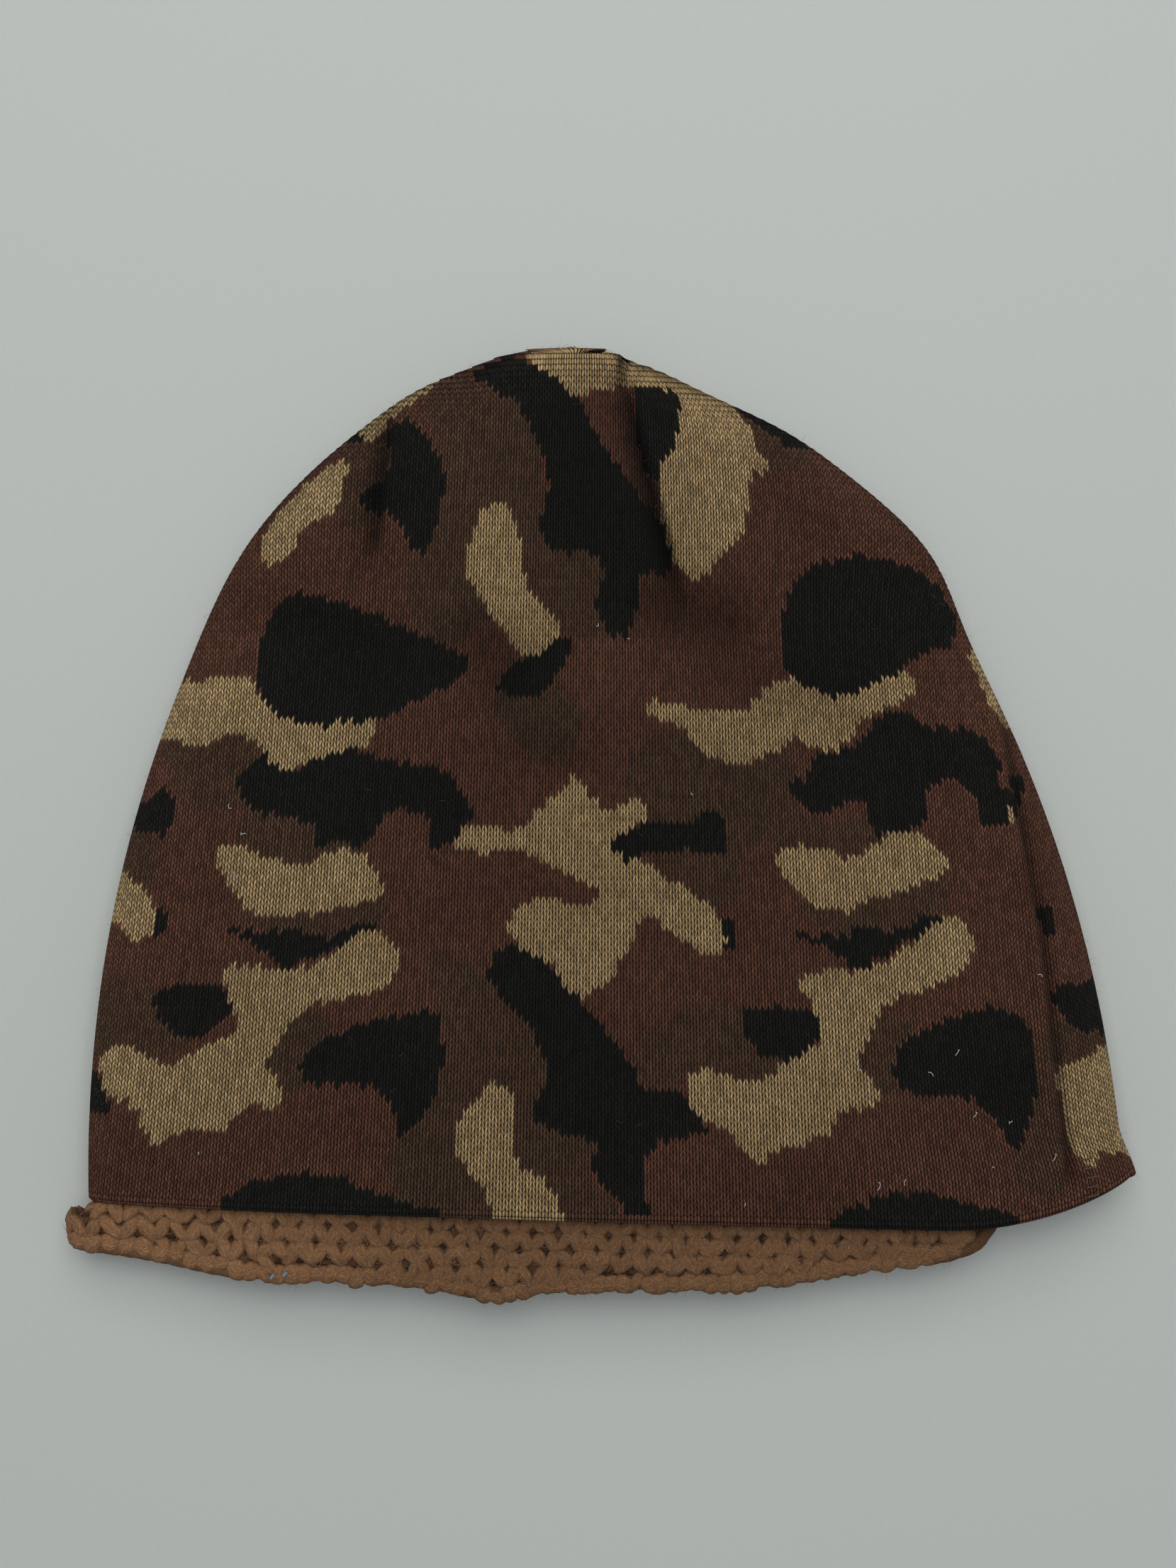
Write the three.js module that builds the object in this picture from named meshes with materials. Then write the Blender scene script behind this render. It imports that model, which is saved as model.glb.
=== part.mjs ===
// A knitted camouflage beanie with a fold-down face mask, lying flat on its left side.
// Units are millimetres. +Z is up, +Y runs from the hem to the crown, -X is the front of the hat and +X is
// its back.
//
// Every layer of the hat is an offset of one analytic shape. A layer at depth d lies d inside the outer face:
// depth 0 is the camouflage face and each layer below it starts where the one above ends plus its named gap.
import * as THREE from "three";

// The hat as it lies flat.
const HAT_WIDTH = 236; // across the hem
const HAT_HEIGHT = 197; // from the hem to the crown
const CROWN_SHIFT = 8; // how far the crown leans towards the front
const CROWN_ROUNDNESS = 1.9; // exponent of the outline: 2 is an ellipse
const HEM_SLOPE = 6.5; // the hem runs this much lower at the back seam than at the front
const HEM_CORNER_LIFT = 12; // the back corner of the hem turns up
const HEM_CORNER_LENGTH = 43;
const CROWN_DROP = 5; // the upper wall lies lower above the mask
const CROWN_DROP_LENGTH = 40;

// The layers, from outside to inside.
const SHELL_THICKNESS = 1.6;
const SEAM_SPACE = 1.4; // between shell and lining, where the seam allowances lie
const LINING_THICKNESS = 1.4;
const MASK_CLEARANCE = 0.7;
const MASK_THICKNESS = 3.4;
const HEAD_SPACE = 6.4; // left open between the two walls of the mask

// The face mask, tucked up inside the hat.
const MASK_TOP = 130; // above the hem
const MASK_SHOWING = 13; // knitting that shows below the hem, without its edge cord
const MASK_FRONT_RISE = 9; // the neck edge is this much higher at the front
const MASK_BACK_RISE = 27; // and this much higher at the back
const MASK_FLARE = 9; // the neck edge bulges this far past the lining at the front
const LOWER_SAG = 4; // below the hem the lower wall sinks towards the surface that the hat lies on
const UPPER_SAG = 0.8; // and the upper wall rests over it
const MASK_FLARE_LENGTH = 10; // flare and sag come in over this much of the knitting that shows
const EYE_DEPTH = 50; // height of the eye opening at the front
const EYE_REACH = 88; // from the front fold to the corner of the eye opening

// Trims.
const CORD_GAP = 0.35; // between a trim and the layer that it is worked on
const NECK_CORD = 4.8; // diameter of the cast-off cord along the neck edge
const EYE_CORD = 3; // diameter of the cord round the eye opening
const JOIN_THREAD = 1.2; // diameter of the overcast stitches that hold the mask's upper edge to the lining
const MASK_SEAM_WIDTH = 5;
const MASK_SEAM_THICKNESS = 1.2;
const MASK_SEAM_PLACE = 0.72; // share of the half-width, from the middle towards the back fold
const OVERLOCK_THICKNESS = 0.6;
const OVERLOCK_WIDTH = 6;
const BACK_SEAM = { start: 9, length: 90, fromFold: 15 }; // heights above the hem, and the way in from the fold
const LINING_SEAM = { start: 20, length: 80, across: 58 };
// Each dart draws the crown in: its top below the crown, its length, and how far its top and its lower end lie
// from the hat's middle line.
const DARTS = {
  upper_front_dart_overlock: { up: true, top: 22, length: 28, topAcross: -40, endAcross: -47 },
  upper_back_dart_overlock: { up: true, top: 12, length: 42, topAcross: 11, endAcross: 21 },
  lower_front_dart_overlock: { up: false, top: 18, length: 38, topAcross: -26, endAcross: -38 },
  lower_back_dart_overlock: { up: false, top: 18, length: 38, topAcross: 26, endAcross: 38 },
};
const HEM_SEAM_WIDTH = 3;
const HEM_SEAM_RISE = 3; // above the hem
const LABEL_SIZE = { width: 32, length: 18, thickness: 0.5 };
const LABEL_ABOVE_MASK = 4;
const LABEL_ACROSS = -5; // from the middle of the hem
const TACK_RADIUS = 0.45;

// Mesh fineness.
const NEAR_STEPS = 20; // across the upper wall
const CORNER_STEPS = 3; // at each fold of the lower wall
const FLAT_STEPS = 6; // across the flat of the lower wall
const HAT_ROWS = 20;
const MASK_ROWS = 14;
const SHOWING_ROWS = 3; // of the mask's rows, those below the hem
const CORD_SIDES = 6;
const SAME_POINT = 1e-6;

const depth = (() => {
  const shellInside = SHELL_THICKNESS;
  const liningOutside = shellInside + SEAM_SPACE;
  const liningInside = liningOutside + LINING_THICKNESS;
  const maskOutside = liningInside + MASK_CLEARANCE;
  const maskInside = maskOutside + MASK_THICKNESS;
  return { shellInside, liningOutside, liningInside, maskOutside, maskInside };
})();
const HALF_THICKNESS = depth.maskInside + HEAD_SPACE / 2; // from a wall's outer face to the side fold

const smooth = (t) => {
  const x = Math.min(1, Math.max(0, t));
  return x * x * (3 - 2 * x);
};
const mix = (a, b, t) => a + (b - a) * t;
const above = (t) => Math.max(0, t);

// The cross-section in units of half-width and half-thickness: a rounded upper wall and a flat lower wall.
const NEAR_FULLNESS = 2 / 2.6;
const FLAT_SHARE = 0.86;
const section = (() => {
  const points = [];
  for (let i = 0; i < NEAR_STEPS; i++) {
    const a = (Math.PI * i) / NEAR_STEPS;
    const across = Math.sign(Math.cos(a)) * Math.abs(Math.cos(a)) ** NEAR_FULLNESS;
    points.push([across, Math.sin(a) ** NEAR_FULLNESS]);
  }
  const corner = (side, i) => {
    const a = (Math.PI / 2) * (i / CORNER_STEPS);
    return [side * (FLAT_SHARE + (1 - FLAT_SHARE) * Math.cos(a)), -Math.sin(a)];
  };
  for (let i = 0; i < CORNER_STEPS; i++) points.push(corner(-1, i));
  for (let i = 0; i <= FLAT_STEPS; i++) points.push([mix(-FLAT_SHARE, FLAT_SHARE, i / FLAT_STEPS), -1]);
  for (let i = CORNER_STEPS - 1; i > 0; i--) points.push(corner(1, i));
  return points;
})();

// The shape of a layer at depth d.
const shareUp = (y, d) => Math.min(1, above(y / (HAT_HEIGHT - d)));
const halfWidth = (y, d) => (HAT_WIDTH / 2 - d) * Math.sqrt(1 - shareUp(y, d) ** CROWN_ROUNDNESS);
const middle = (y) => -CROWN_SHIFT * shareUp(y, 0);
const CROWN_ROUND_FROM = 0.86; // share of the height from which both walls curve in to meet at the crown
const closing = (y, d) =>
  Math.sqrt(1 - above((shareUp(y, d) - CROWN_ROUND_FROM) / (1 - CROWN_ROUND_FROM)) ** 2);
const drop = (y) => CROWN_DROP * smooth((y - MASK_TOP + CROWN_DROP_LENGTH / 2) / CROWN_DROP_LENGTH);
const rise = (y, d, up) => (HALF_THICKNESS - d - (up ? drop(y) : 0)) * closing(y, d);

// A point of the layer at height y, from a point of the unit section.
const onLayer = ([across, up], y, d) =>
  new THREE.Vector3(
    middle(y) + halfWidth(y, d) * across,
    y,
    HALF_THICKNESS + rise(y, d, up > 0) * up,
  );
// The same, where the height follows from the place across the hat.
const SETTLE_STEPS = 8;
const onLayerAt = (unit, heightAt, d) => {
  let y = heightAt(0);
  for (let i = 0; i < SETTLE_STEPS; i++) y = heightAt(onLayer(unit, y, d).x);
  return onLayer(unit, y, d);
};

// Edges, as heights along the width.
const HEM_LEVEL_AT = 0.45; // share of the width where the hem is at height 0
const FRONT_RISE_POWER = 1.5; // the neck edge rises more evenly at the front than at the back
const FRONT = -HAT_WIDTH / 2;
const BACK = HAT_WIDTH / 2;
const hemLine = (x) =>
  HEM_SLOPE * (HEM_LEVEL_AT - (x - FRONT) / HAT_WIDTH) +
  HEM_CORNER_LIFT * (above(x - BACK + HEM_CORNER_LENGTH) / HEM_CORNER_LENGTH) ** 2;
const NECK_MIDDLE = [-30, 20]; // the neck edge runs level between these places
const neckLine = (x) =>
  -MASK_SHOWING +
  MASK_FRONT_RISE * (above(NECK_MIDDLE[0] - x) / (NECK_MIDDLE[0] - FRONT)) ** FRONT_RISE_POWER +
  MASK_BACK_RISE * (above(x - NECK_MIDDLE[1]) / (BACK - NECK_MIDDLE[1])) ** 2;
const maskFront = middle(MASK_TOP) - halfWidth(MASK_TOP, depth.maskOutside);
const eyeLine = (x) => MASK_TOP - EYE_DEPTH * smooth((maskFront + EYE_REACH - x) / EYE_REACH);

// A closed solid from a grid of points: rows by columns, each point given for the outer and the inner face.
function wall(outer, inner, rows, columns, ring) {
  const corners = [];
  // Rows that meet in one point leave out their empty triangles.
  const triangle = (a, b, c) => {
    const least = Math.min(a.distanceTo(b), b.distanceTo(c), c.distanceTo(a));
    if (least > SAME_POINT) corners.push(a, b, c);
  };
  const quad = (a, b, c, d) => {
    triangle(a, b, c);
    triangle(a, c, d);
  };
  const next = (k) => (ring ? (k + 1) % columns : k + 1);
  for (let k = 0; k < columns; k++) {
    const n = next(k);
    for (let i = 0; i < rows; i++) {
      quad(outer[i][n], outer[i][k], outer[i + 1][k], outer[i + 1][n]);
      quad(inner[i][k], inner[i][n], inner[i + 1][n], inner[i + 1][k]);
    }
    quad(inner[0][n], inner[0][k], outer[0][k], outer[0][n]);
    quad(outer[rows][n], outer[rows][k], inner[rows][k], inner[rows][n]);
  }
  if (!ring) {
    for (let i = 0; i < rows; i++) {
      quad(outer[i + 1][0], outer[i][0], inner[i][0], inner[i + 1][0]);
      quad(outer[i][columns], outer[i + 1][columns], inner[i + 1][columns], inner[i][columns]);
    }
  }
  const flat = corners.flatMap((p) => [p.x, p.y, p.z]);
  const geometry = new THREE.BufferGeometry();
  geometry.setAttribute("position", new THREE.Float32BufferAttribute(flat, 3));
  geometry.computeVertexNormals();
  return geometry;
}

// Heights of the rows of a layer of the hat, closer together towards the crown.
const hatHeight = (i, d) => (x) => {
  const share = Math.sin((Math.PI / 2) * (i / HAT_ROWS));
  return mix(hemLine(x) * (1 - share), HAT_HEIGHT - d, share);
};
const rowsOf = (count, point) =>
  Array.from({ length: count + 1 }, (_, i) => section.map((unit) => point(i, unit)));

// A whole layer of the hat, from the hem to the crown.
const hatLayer = (outside, inside) =>
  wall(
    rowsOf(HAT_ROWS, (i, unit) => onLayerAt(unit, hatHeight(i, outside), outside)),
    rowsOf(HAT_ROWS, (i, unit) => onLayerAt(unit, hatHeight(i, inside), inside)),
    HAT_ROWS,
    section.length,
    true,
  );

// The mask tube's own face, which bulges out at the front and sags where it leaves the hem.
const UNDER_HEM = 1; // both begin this far below the hem
const FLARE_POWER = 6; // keeps the bulge near the front fold
const maskPoint = (unit, heightAt, d) => {
  const p = onLayerAt(unit, heightAt, d);
  const out = smooth((hemLine(p.x) - UNDER_HEM - p.y) / MASK_FLARE_LENGTH);
  p.x -= MASK_FLARE * out * above(-unit[0]) ** FLARE_POWER;
  p.z -= out * mix(LOWER_SAG, UPPER_SAG, (1 + unit[1]) / 2);
  return p;
};
const LEAST_SHOWING = 1.5; // keeps the rows apart where the neck edge runs above the hem
const maskHeight = (i) => (x) => {
  const edge = neckLine(x);
  const underHem = Math.max(hemLine(x) - UNDER_HEM, edge + LEAST_SHOWING);
  if (i <= SHOWING_ROWS) return mix(edge, underHem, i / SHOWING_ROWS);
  return mix(underHem, eyeLine(x), (i - SHOWING_ROWS) / (MASK_ROWS - SHOWING_ROWS));
};

const maskTube = () => {
  const face = (d) => rowsOf(MASK_ROWS, (i, unit) => maskPoint(unit, maskHeight(i), d));
  return wall(face(depth.maskOutside), face(depth.maskInside), MASK_ROWS, section.length, true);
};

// A cord worked along the line level(x) of the mask: side is 1 above the line or -1 below it.
const edgeCord = (level, side, diameter, units, ring) => {
  const centre = (depth.maskOutside + depth.maskInside) / 2;
  const radius = diameter / 2;
  const round = (a) => (unit) => {
    const away = side * (CORD_GAP + radius) + radius * Math.sin(a);
    const d = centre - (radius * Math.cos(a) * MASK_THICKNESS) / Math.max(diameter, MASK_THICKNESS);
    return maskPoint(unit, (x) => level(x) + away, d);
  };
  // An outer and an inner half make up the cord's round section.
  const steps = CORD_SIDES / 2;
  const half = (turn) =>
    Array.from({ length: steps + 1 }, (_, i) => units.map(round(turn * Math.PI * (i / steps) - Math.PI / 2)));
  const columns = ring ? units.length : units.length - 1;
  return wall(half(1), half(-1), steps, columns, ring);
};

// A flat tape on the upper or lower wall, along a path of [x, y] points, between two depths.
const TAPE_ROWS = 8;
const TAPE_COLUMNS = 2;
const tapeOn = (up, path, width, outside, inside) => {
  const curve = new THREE.CatmullRomCurve3(path.map(([x, y]) => new THREE.Vector3(x, y, 0)));
  const height = (x, y, d) => {
    const share = Math.min(1, Math.abs((x - middle(y)) / halfWidth(y, d)));
    const unit = up
      ? (1 - share ** (2 / NEAR_FULLNESS)) ** (NEAR_FULLNESS / 2)
      : -Math.sqrt(1 - (above(share - FLAT_SHARE) / (1 - FLAT_SHARE)) ** 2);
    return HALF_THICKNESS + rise(y, d, up) * unit;
  };
  const face = (d) =>
    Array.from({ length: TAPE_ROWS + 1 }, (_, i) => {
      const p = curve.getPoint(i / TAPE_ROWS);
      const t = curve.getTangent(i / TAPE_ROWS);
      return Array.from({ length: TAPE_COLUMNS + 1 }, (_, k) => {
        const off = (k / TAPE_COLUMNS - 0.5) * width * (up ? 1 : -1);
        const x = p.x - t.y * off;
        const y = p.y + t.x * off;
        return new THREE.Vector3(x, y, height(x, y, d));
      });
    });
  return wall(face(outside), face(inside), TAPE_ROWS, TAPE_COLUMNS, false);
};

const seamDepth = depth.shellInside + (SEAM_SPACE - OVERLOCK_THICKNESS) / 2;
const overlock = (up, path) => tapeOn(up, path, OVERLOCK_WIDTH, seamDepth, seamDepth + OVERLOCK_THICKNESS);

// The ring of thread that joins shell and lining just above the hem.
const hemSeam = () => {
  const edge = (i) => (x) => hemLine(x) + HEM_SEAM_RISE + i * HEM_SEAM_WIDTH;
  const face = (d) => rowsOf(1, (i, unit) => onLayerAt(unit, edge(i), d));
  return wall(face(seamDepth), face(seamDepth + OVERLOCK_THICKNESS), 1, section.length, true);
};

const material = (color, roughness) => new THREE.MeshStandardMaterial({ color, roughness, metalness: 0 });
const camoKnit = material(0x4a2d26, 0.95);
const liningKnit = material(0x4b3a30, 0.95);
const maskYarn = material(0x7d5d43, 0.95);
const sewingThread = material(0x2e231e, 0.8);
const labelTape = material(0xd8d3c6, 0.7);

const hat = new THREE.Group();
const add = (name, geometry, itsMaterial) => {
  const mesh = new THREE.Mesh(geometry, itsMaterial);
  mesh.name = name;
  hat.add(mesh);
};

add("outer_shell", hatLayer(0, depth.shellInside), camoKnit);
add("lining", hatLayer(depth.liningOutside, depth.liningInside), liningKnit);
add("hem_seam_thread", hemSeam(), sewingThread);

// Seam allowances between shell and lining.
const backFold = (y) => middle(y) + halfWidth(y, 0);
const seamHeights = ({ start, length }) => [0, 0.25, 0.5, 0.75, 1].map((t) => start + t * length);
const backSeam = seamHeights(BACK_SEAM).map((y) => [backFold(y) - BACK_SEAM.fromFold, y]);
const liningSeam = seamHeights(LINING_SEAM).map((y) => [middle(y) + LINING_SEAM.across, y]);
add("back_seam_overlock", overlock(true, backSeam), sewingThread);
add("lining_seam_overlock", overlock(false, liningSeam), sewingThread);

for (const [name, { up, top, length, topAcross, endAcross }] of Object.entries(DARTS)) {
  const path = [0, 0.5, 1].map((t) => {
    const y = HAT_HEIGHT - top - (1 - t) * length;
    return [middle(y) + mix(endAcross, topAcross, t), y];
  });
  add(name, overlock(up, path), sewingThread);
}

const tack = new THREE.SphereGeometry(TACK_RADIUS, 8, 6);
tack.translate(middle(HAT_HEIGHT), HAT_HEIGHT - depth.shellInside - SEAM_SPACE / 2, HALF_THICKNESS);
add("crown_tack_stitch", tack, sewingThread);

const labelDepth = depth.liningInside + CORD_GAP;
const labelFrom = MASK_TOP + EYE_CORD + LABEL_ABOVE_MASK;
const labelPath = [0, 0.5, 1].map((t) => [LABEL_ACROSS, labelFrom + t * LABEL_SIZE.length]);
const label = tapeOn(false, labelPath, LABEL_SIZE.width, labelDepth, labelDepth + LABEL_SIZE.thickness);
add("care_label", label, labelTape);

const maskSeam = () => {
  const path = [0.08, 0.34, 0.6, 0.86].map((t) => {
    const y = mix(neckLine(BACK), MASK_TOP, t);
    return [middle(y) + halfWidth(y, depth.maskInside) * MASK_SEAM_PLACE, y];
  });
  const outside = depth.maskInside + CORD_GAP;
  return tapeOn(true, path, MASK_SEAM_WIDTH, outside, outside + MASK_SEAM_THICKNESS);
};
// The cord round the eye opening runs along the front and middle of the edge, and the join along the back.
const EYE_CORD_ENDS_AT = 0.1;
const JOIN_STARTS_AT = 0.25;
const frontAndMiddle = section.filter(([across]) => across < EYE_CORD_ENDS_AT);
const isBack = ([across]) => across > JOIN_STARTS_AT;
const firstNotBack = section.findIndex((unit) => !isBack(unit));
const roundBack = [...section.slice(firstNotBack).filter(isBack), ...section.slice(0, firstNotBack)];

add("mask_tube", maskTube(), maskYarn);
add("mask_seam_thread", maskSeam(), maskYarn);
add("neck_edge_cord", edgeCord(neckLine, -1, NECK_CORD, section, true), maskYarn);
add("eye_opening_cord", edgeCord(eyeLine, 1, EYE_CORD, frontAndMiddle, false), maskYarn);
add("mask_join_thread", edgeCord(eyeLine, 1, JOIN_THREAD, roundBack, false), sewingThread);

// The frame: the middle of the whole hat, on the surface that it lies on.
const box = new THREE.Box3().setFromObject(hat);
const centre = box.getCenter(new THREE.Vector3());
hat.position.set(-centre.x, -centre.y, -box.min.z);

export default hat;
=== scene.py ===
import math

import bmesh
import bpy
import numpy as np
from mathutils import Matrix, Vector


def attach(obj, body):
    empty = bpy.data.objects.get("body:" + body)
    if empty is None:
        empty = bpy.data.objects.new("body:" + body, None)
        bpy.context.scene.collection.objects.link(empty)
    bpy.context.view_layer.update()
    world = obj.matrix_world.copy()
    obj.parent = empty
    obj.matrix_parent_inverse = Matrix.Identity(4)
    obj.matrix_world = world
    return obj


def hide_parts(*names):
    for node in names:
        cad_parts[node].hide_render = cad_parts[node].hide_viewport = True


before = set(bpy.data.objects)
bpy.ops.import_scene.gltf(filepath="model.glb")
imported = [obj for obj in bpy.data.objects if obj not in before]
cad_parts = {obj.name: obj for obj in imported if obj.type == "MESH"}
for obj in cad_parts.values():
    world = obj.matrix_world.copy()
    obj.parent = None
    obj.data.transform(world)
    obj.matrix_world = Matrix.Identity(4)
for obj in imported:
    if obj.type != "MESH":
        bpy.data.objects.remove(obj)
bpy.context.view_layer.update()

MM = 0.001
SHIFT = np.array([2.072, -89.425, 0.0])  # from the hat's own axes to the frame

# The hat as it lies flat, and its layers by depth below the outer face.
WIDTH, HEIGHT, HALF = 236.0, 197.0, 11.7
FOLD = WIDTH / 2  # where the hem's two folds lie, either side of the middle
SHELL_INSIDE, LINING_OUTSIDE, LINING_INSIDE, MASK_OUTSIDE, MASK_INSIDE = 1.6, 3.0, 4.4, 5.1, 8.5
SEAM_DEPTH, MASK_MIDDLE = 2.3, 6.8
CROWN_ROUNDNESS, CROWN_SHIFT = 1.9, 8.0
MASK_TOP, MASK_SHOWING, MASK_HALF_WIDTH = 130.0, 13.0, 113.0
EYE_DIP, EYE_WIDTH = 50, 88
ARCH = 2.6  # the power of the upper wall's rounded section
FLAT_SHARE, BEND_SHARE = 0.86, 0.14  # of the lower wall: flat as far as the first, then bent up to the fold
CLOSING_FROM, CLOSING_SHARE = 0.86, 0.14  # of the height: the hat closes towards the crown

# Knitting gauges.
WALE, COURSE = 1.49, 1.33
MASK_WALE, MASK_COURSE = 6.1, 4.0

rng = np.random.default_rng(12)


def smooth(t):
    t = np.clip(t, 0, 1)
    return t * t * (3 - 2 * t)


def share_up(y, d=0.0):
    return np.clip(y / (HEIGHT - d), 0, 1)


def half_width(y, d=0.0):
    return (WIDTH / 2 - d) * np.sqrt(1 - share_up(y, d) ** CROWN_ROUNDNESS)


def middle(y):
    return -CROWN_SHIFT * share_up(y)


def rise(y, d, upper):
    closing = np.sqrt(1 - (np.clip(share_up(y, d) - CLOSING_FROM, 0, 1) / CLOSING_SHARE) ** 2)
    drop = 5 * smooth((y - MASK_TOP + 20) / 40) if upper else 0
    return (HALF - d - drop) * closing


def hem_line(x):
    return 6.5 * (0.45 - (x + FOLD) / WIDTH) + 12 * (np.clip(x - 75, 0, None) / (FOLD - 75)) ** 2


def neck_line(x):
    front = 9 * (np.clip(-30 - x, 0, None) / (FOLD - 30)) ** 1.5
    end = 7 * smooth((x - 82) / 9) - 3 * smooth((x - 60) / 18)
    lumps = 2.0 * np.exp(-(((x + 84) / 12) ** 2)) + 2.4 * np.exp(-(((x + 27) / 11) ** 2))
    return -MASK_SHOWING + front + 27 * (np.clip(x - 20, 0, None) / (FOLD - 20)) ** 2 + end - lumps


MASK_FRONT = float(middle(MASK_TOP) - half_width(MASK_TOP, MASK_OUTSIDE))


def eye_line(x):
    return MASK_TOP - EYE_DIP * smooth((MASK_FRONT + EYE_WIDTH - x) / EYE_WIDTH)


def narrowing(y):
    """Wales run closer together towards the crown."""
    return 1 - 0.00104 * y


# Each wall's cross-section, from the middle (0) to the fold (1), in units of half-width and half-thickness.
def upper_section(b):
    a = (1 - b**1.3) * math.pi / 2
    return np.cos(a) ** (2 / ARCH), np.sin(a) ** (2 / ARCH)


def lower_section(b):
    turn = np.clip(b - 0.5, 0, 0.5) * math.pi
    across = np.where(b < 0.5, b / 0.5 * FLAT_SHARE, FLAT_SHARE + BEND_SHARE * np.sin(turn))
    return across, -np.cos(turn)


class Wall:
    """The upper or the lower wall of the hat: places on it are measured along the cloth."""

    LEVELS, STEPS = 120, 90

    def __init__(self, upper):
        self.upper = upper
        self.section = upper_section if upper else lower_section
        self.heights = np.linspace(-20, HEIGHT, self.LEVELS)
        b = np.linspace(0, 1, 500)
        across, up = self.section(b)
        self.length = np.zeros(self.LEVELS)
        self.table = np.zeros((self.LEVELS, self.STEPS + 1))
        for i, y in enumerate(self.heights):
            x, z = across * max(half_width(y), 1e-3), up * max(rise(y, 0, upper), 1e-3)
            run = np.concatenate([[0], np.cumsum(np.hypot(np.diff(x), np.diff(z)))])
            self.length[i] = run[-1]
            self.table[i] = np.interp(np.linspace(0, run[-1], self.STEPS + 1), run, b)

    def share(self, t, y):
        """How far t millimetres from the middle is towards the fold: 1 at the fold."""
        return t / np.interp(y, self.heights, self.length)

    def point(self, f, y, d):
        lowest, last = self.heights[0], self.LEVELS - 1
        row = np.clip((y - lowest) / (HEIGHT - lowest) * last, 0, self.LEVELS - 1.001)
        col = np.clip(np.abs(f), 0, 1) * self.STEPS * 0.999999
        i, j = row.astype(int), col.astype(int)
        p, q = row - i, col - j
        b = (self.table[i, j] * (1 - p) + self.table[i + 1, j] * p) * (1 - q) + (
            self.table[i, j + 1] * (1 - p) + self.table[i + 1, j + 1] * p
        ) * q
        b = np.where(np.abs(f) >= 1, 1.0, b)
        across, up = self.section(b)
        across = across * np.sign(f)
        x = middle(y) + half_width(y, d) * across
        return x, HALF + rise(y, d, self.upper) * up, across, up


UPPER, LOWER = Wall(True), Wall(False)


# ---------------------------------------------------------------- folds and seams of the upper wall
def beside(x, y, start, end):
    """How far along a line each place is, as a share of it, and how far off to its left in millimetres."""
    (ax, ay), (bx, by) = start, end
    run = math.hypot(bx - ax, by - ay)
    t = ((x - ax) * (bx - ax) + (y - ay) * (by - ay)) / run**2
    return t, ((y - ay) * (bx - ax) - (x - ax) * (by - ay)) / run


def crease(x, y, start, end, width, depth):
    t, off = beside(x, y, start, end)
    ends = smooth((t + 0.12) / 0.35) * smooth((1.12 - t) / 0.35)
    return -depth * np.exp(-((off / width) ** 2)) * ends


def swell(x, y, at, size, height):
    return height * np.exp(-(((x - at[0]) / size[0]) ** 2) - ((y - at[1]) / size[1]) ** 2)


def back_seam(y):
    return (104 - 3.5 * smooth((y - 55) / 60)) * narrowing(y)


def along_seam(y):
    """1 where the back seam runs, fading out at its ends."""
    return smooth((y - 4) / 8) * smooth((122 - y) / 14)


DART = (2.9, 190), (14.9, 143)
DART_DEPTH = 4.6


def tuck(x, y, start, end, depth, height):
    """A dart: the cloth sinks towards its line from one side and stands up beyond it on the other."""
    t, off = beside(x, y, start, end)
    low = -depth * np.exp(-((off / 4.2) ** 2))
    high = height * np.exp(-((np.clip(off - 2, 0, None) / 12) ** 2))
    step = smooth(off / 2.0)
    return (low * (1 - step) + high * step) * smooth((t + 0.15) / 0.4) * smooth((1.18 - t) / 0.4)


# Each crease: where it starts and ends, its width and its depth.
CREASES = [
    ((-51.5, 182), (-54.5, 149), 1.9, 3.0), ((-52, 182), (-57, 144), 6.0, 1.4),
    ((3.5, 199), (2.0, 188), 1.2, 2.2), ((-56, 187), (-84, 153), 2.6, 1.6),
    ((4, 140), (34, 133), 7.5, 3.0), ((-36, 137), (-20, 114), 6.5, 2.2),
    ((14, 127), (60, 110), 6.0, 1.3), ((-90, 141), (-44, 127), 6.0, 1.1),
    ((-22, 112), (-4, 99), 6.0, 1.2), ((30, 176), (52, 150), 7.0, 1.2),
]
# Each swelling: its middle, its size both ways and its height.
SWELLINGS = [
    ((-9, 160), (13, 18), 1.5), ((-38, 165), (12, 18), 1.4), ((-68, 150), (12, 20), 1.0),
    ((5, 118), (30, 12), 1.0), ((-6, 192), (9, 5), 1.0), ((45, 140), (16, 14), 1.0),
]


def hollows(x, y):
    return sum(crease(x, y, *fold) for fold in CREASES)


def relief(x, y):
    """How far the upper wall stands above its plain shape."""
    r = hollows(x, y) + tuck(x, y, *DART, DART_DEPTH, 2.6)
    r += sum(swell(x, y, *place) for place in SWELLINGS)
    r += 0.42 * np.sin(x / 17 + y / 23) * np.sin(y / 15 - x / 31)
    r += 0.22 * np.sin(x / 7.3 - y / 19) * np.sin(y / 9.1)
    seam = x - back_seam(y)
    ridge = 1.2 * np.exp(-(((seam + 1.5) / 1.7) ** 2)) - 1.5 * np.exp(-(((seam - 1.1) / 1.2) ** 2))
    return r + along_seam(y) * ridge


def shade(x, y):
    """Painted shade: how far the cloth is darkened where it lies in a fold or a dart, in the back seam's groove
    and in one dimple: 1 in the deepest ones.
    """
    dart = tuck(x, y, *DART, DART_DEPTH, 0)
    seam = np.exp(-(((x - back_seam(y) - 1.1) / 1.4) ** 2)) * along_seam(y)
    dimple = np.exp(-(((x + 17) / 9) ** 2) - ((y - 131) / 7) ** 2)
    return np.clip(-hollows(x, y) / 4.2 - dart / 4.2 + 0.75 * seam + 0.35 * dimple, 0, 1)


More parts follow.
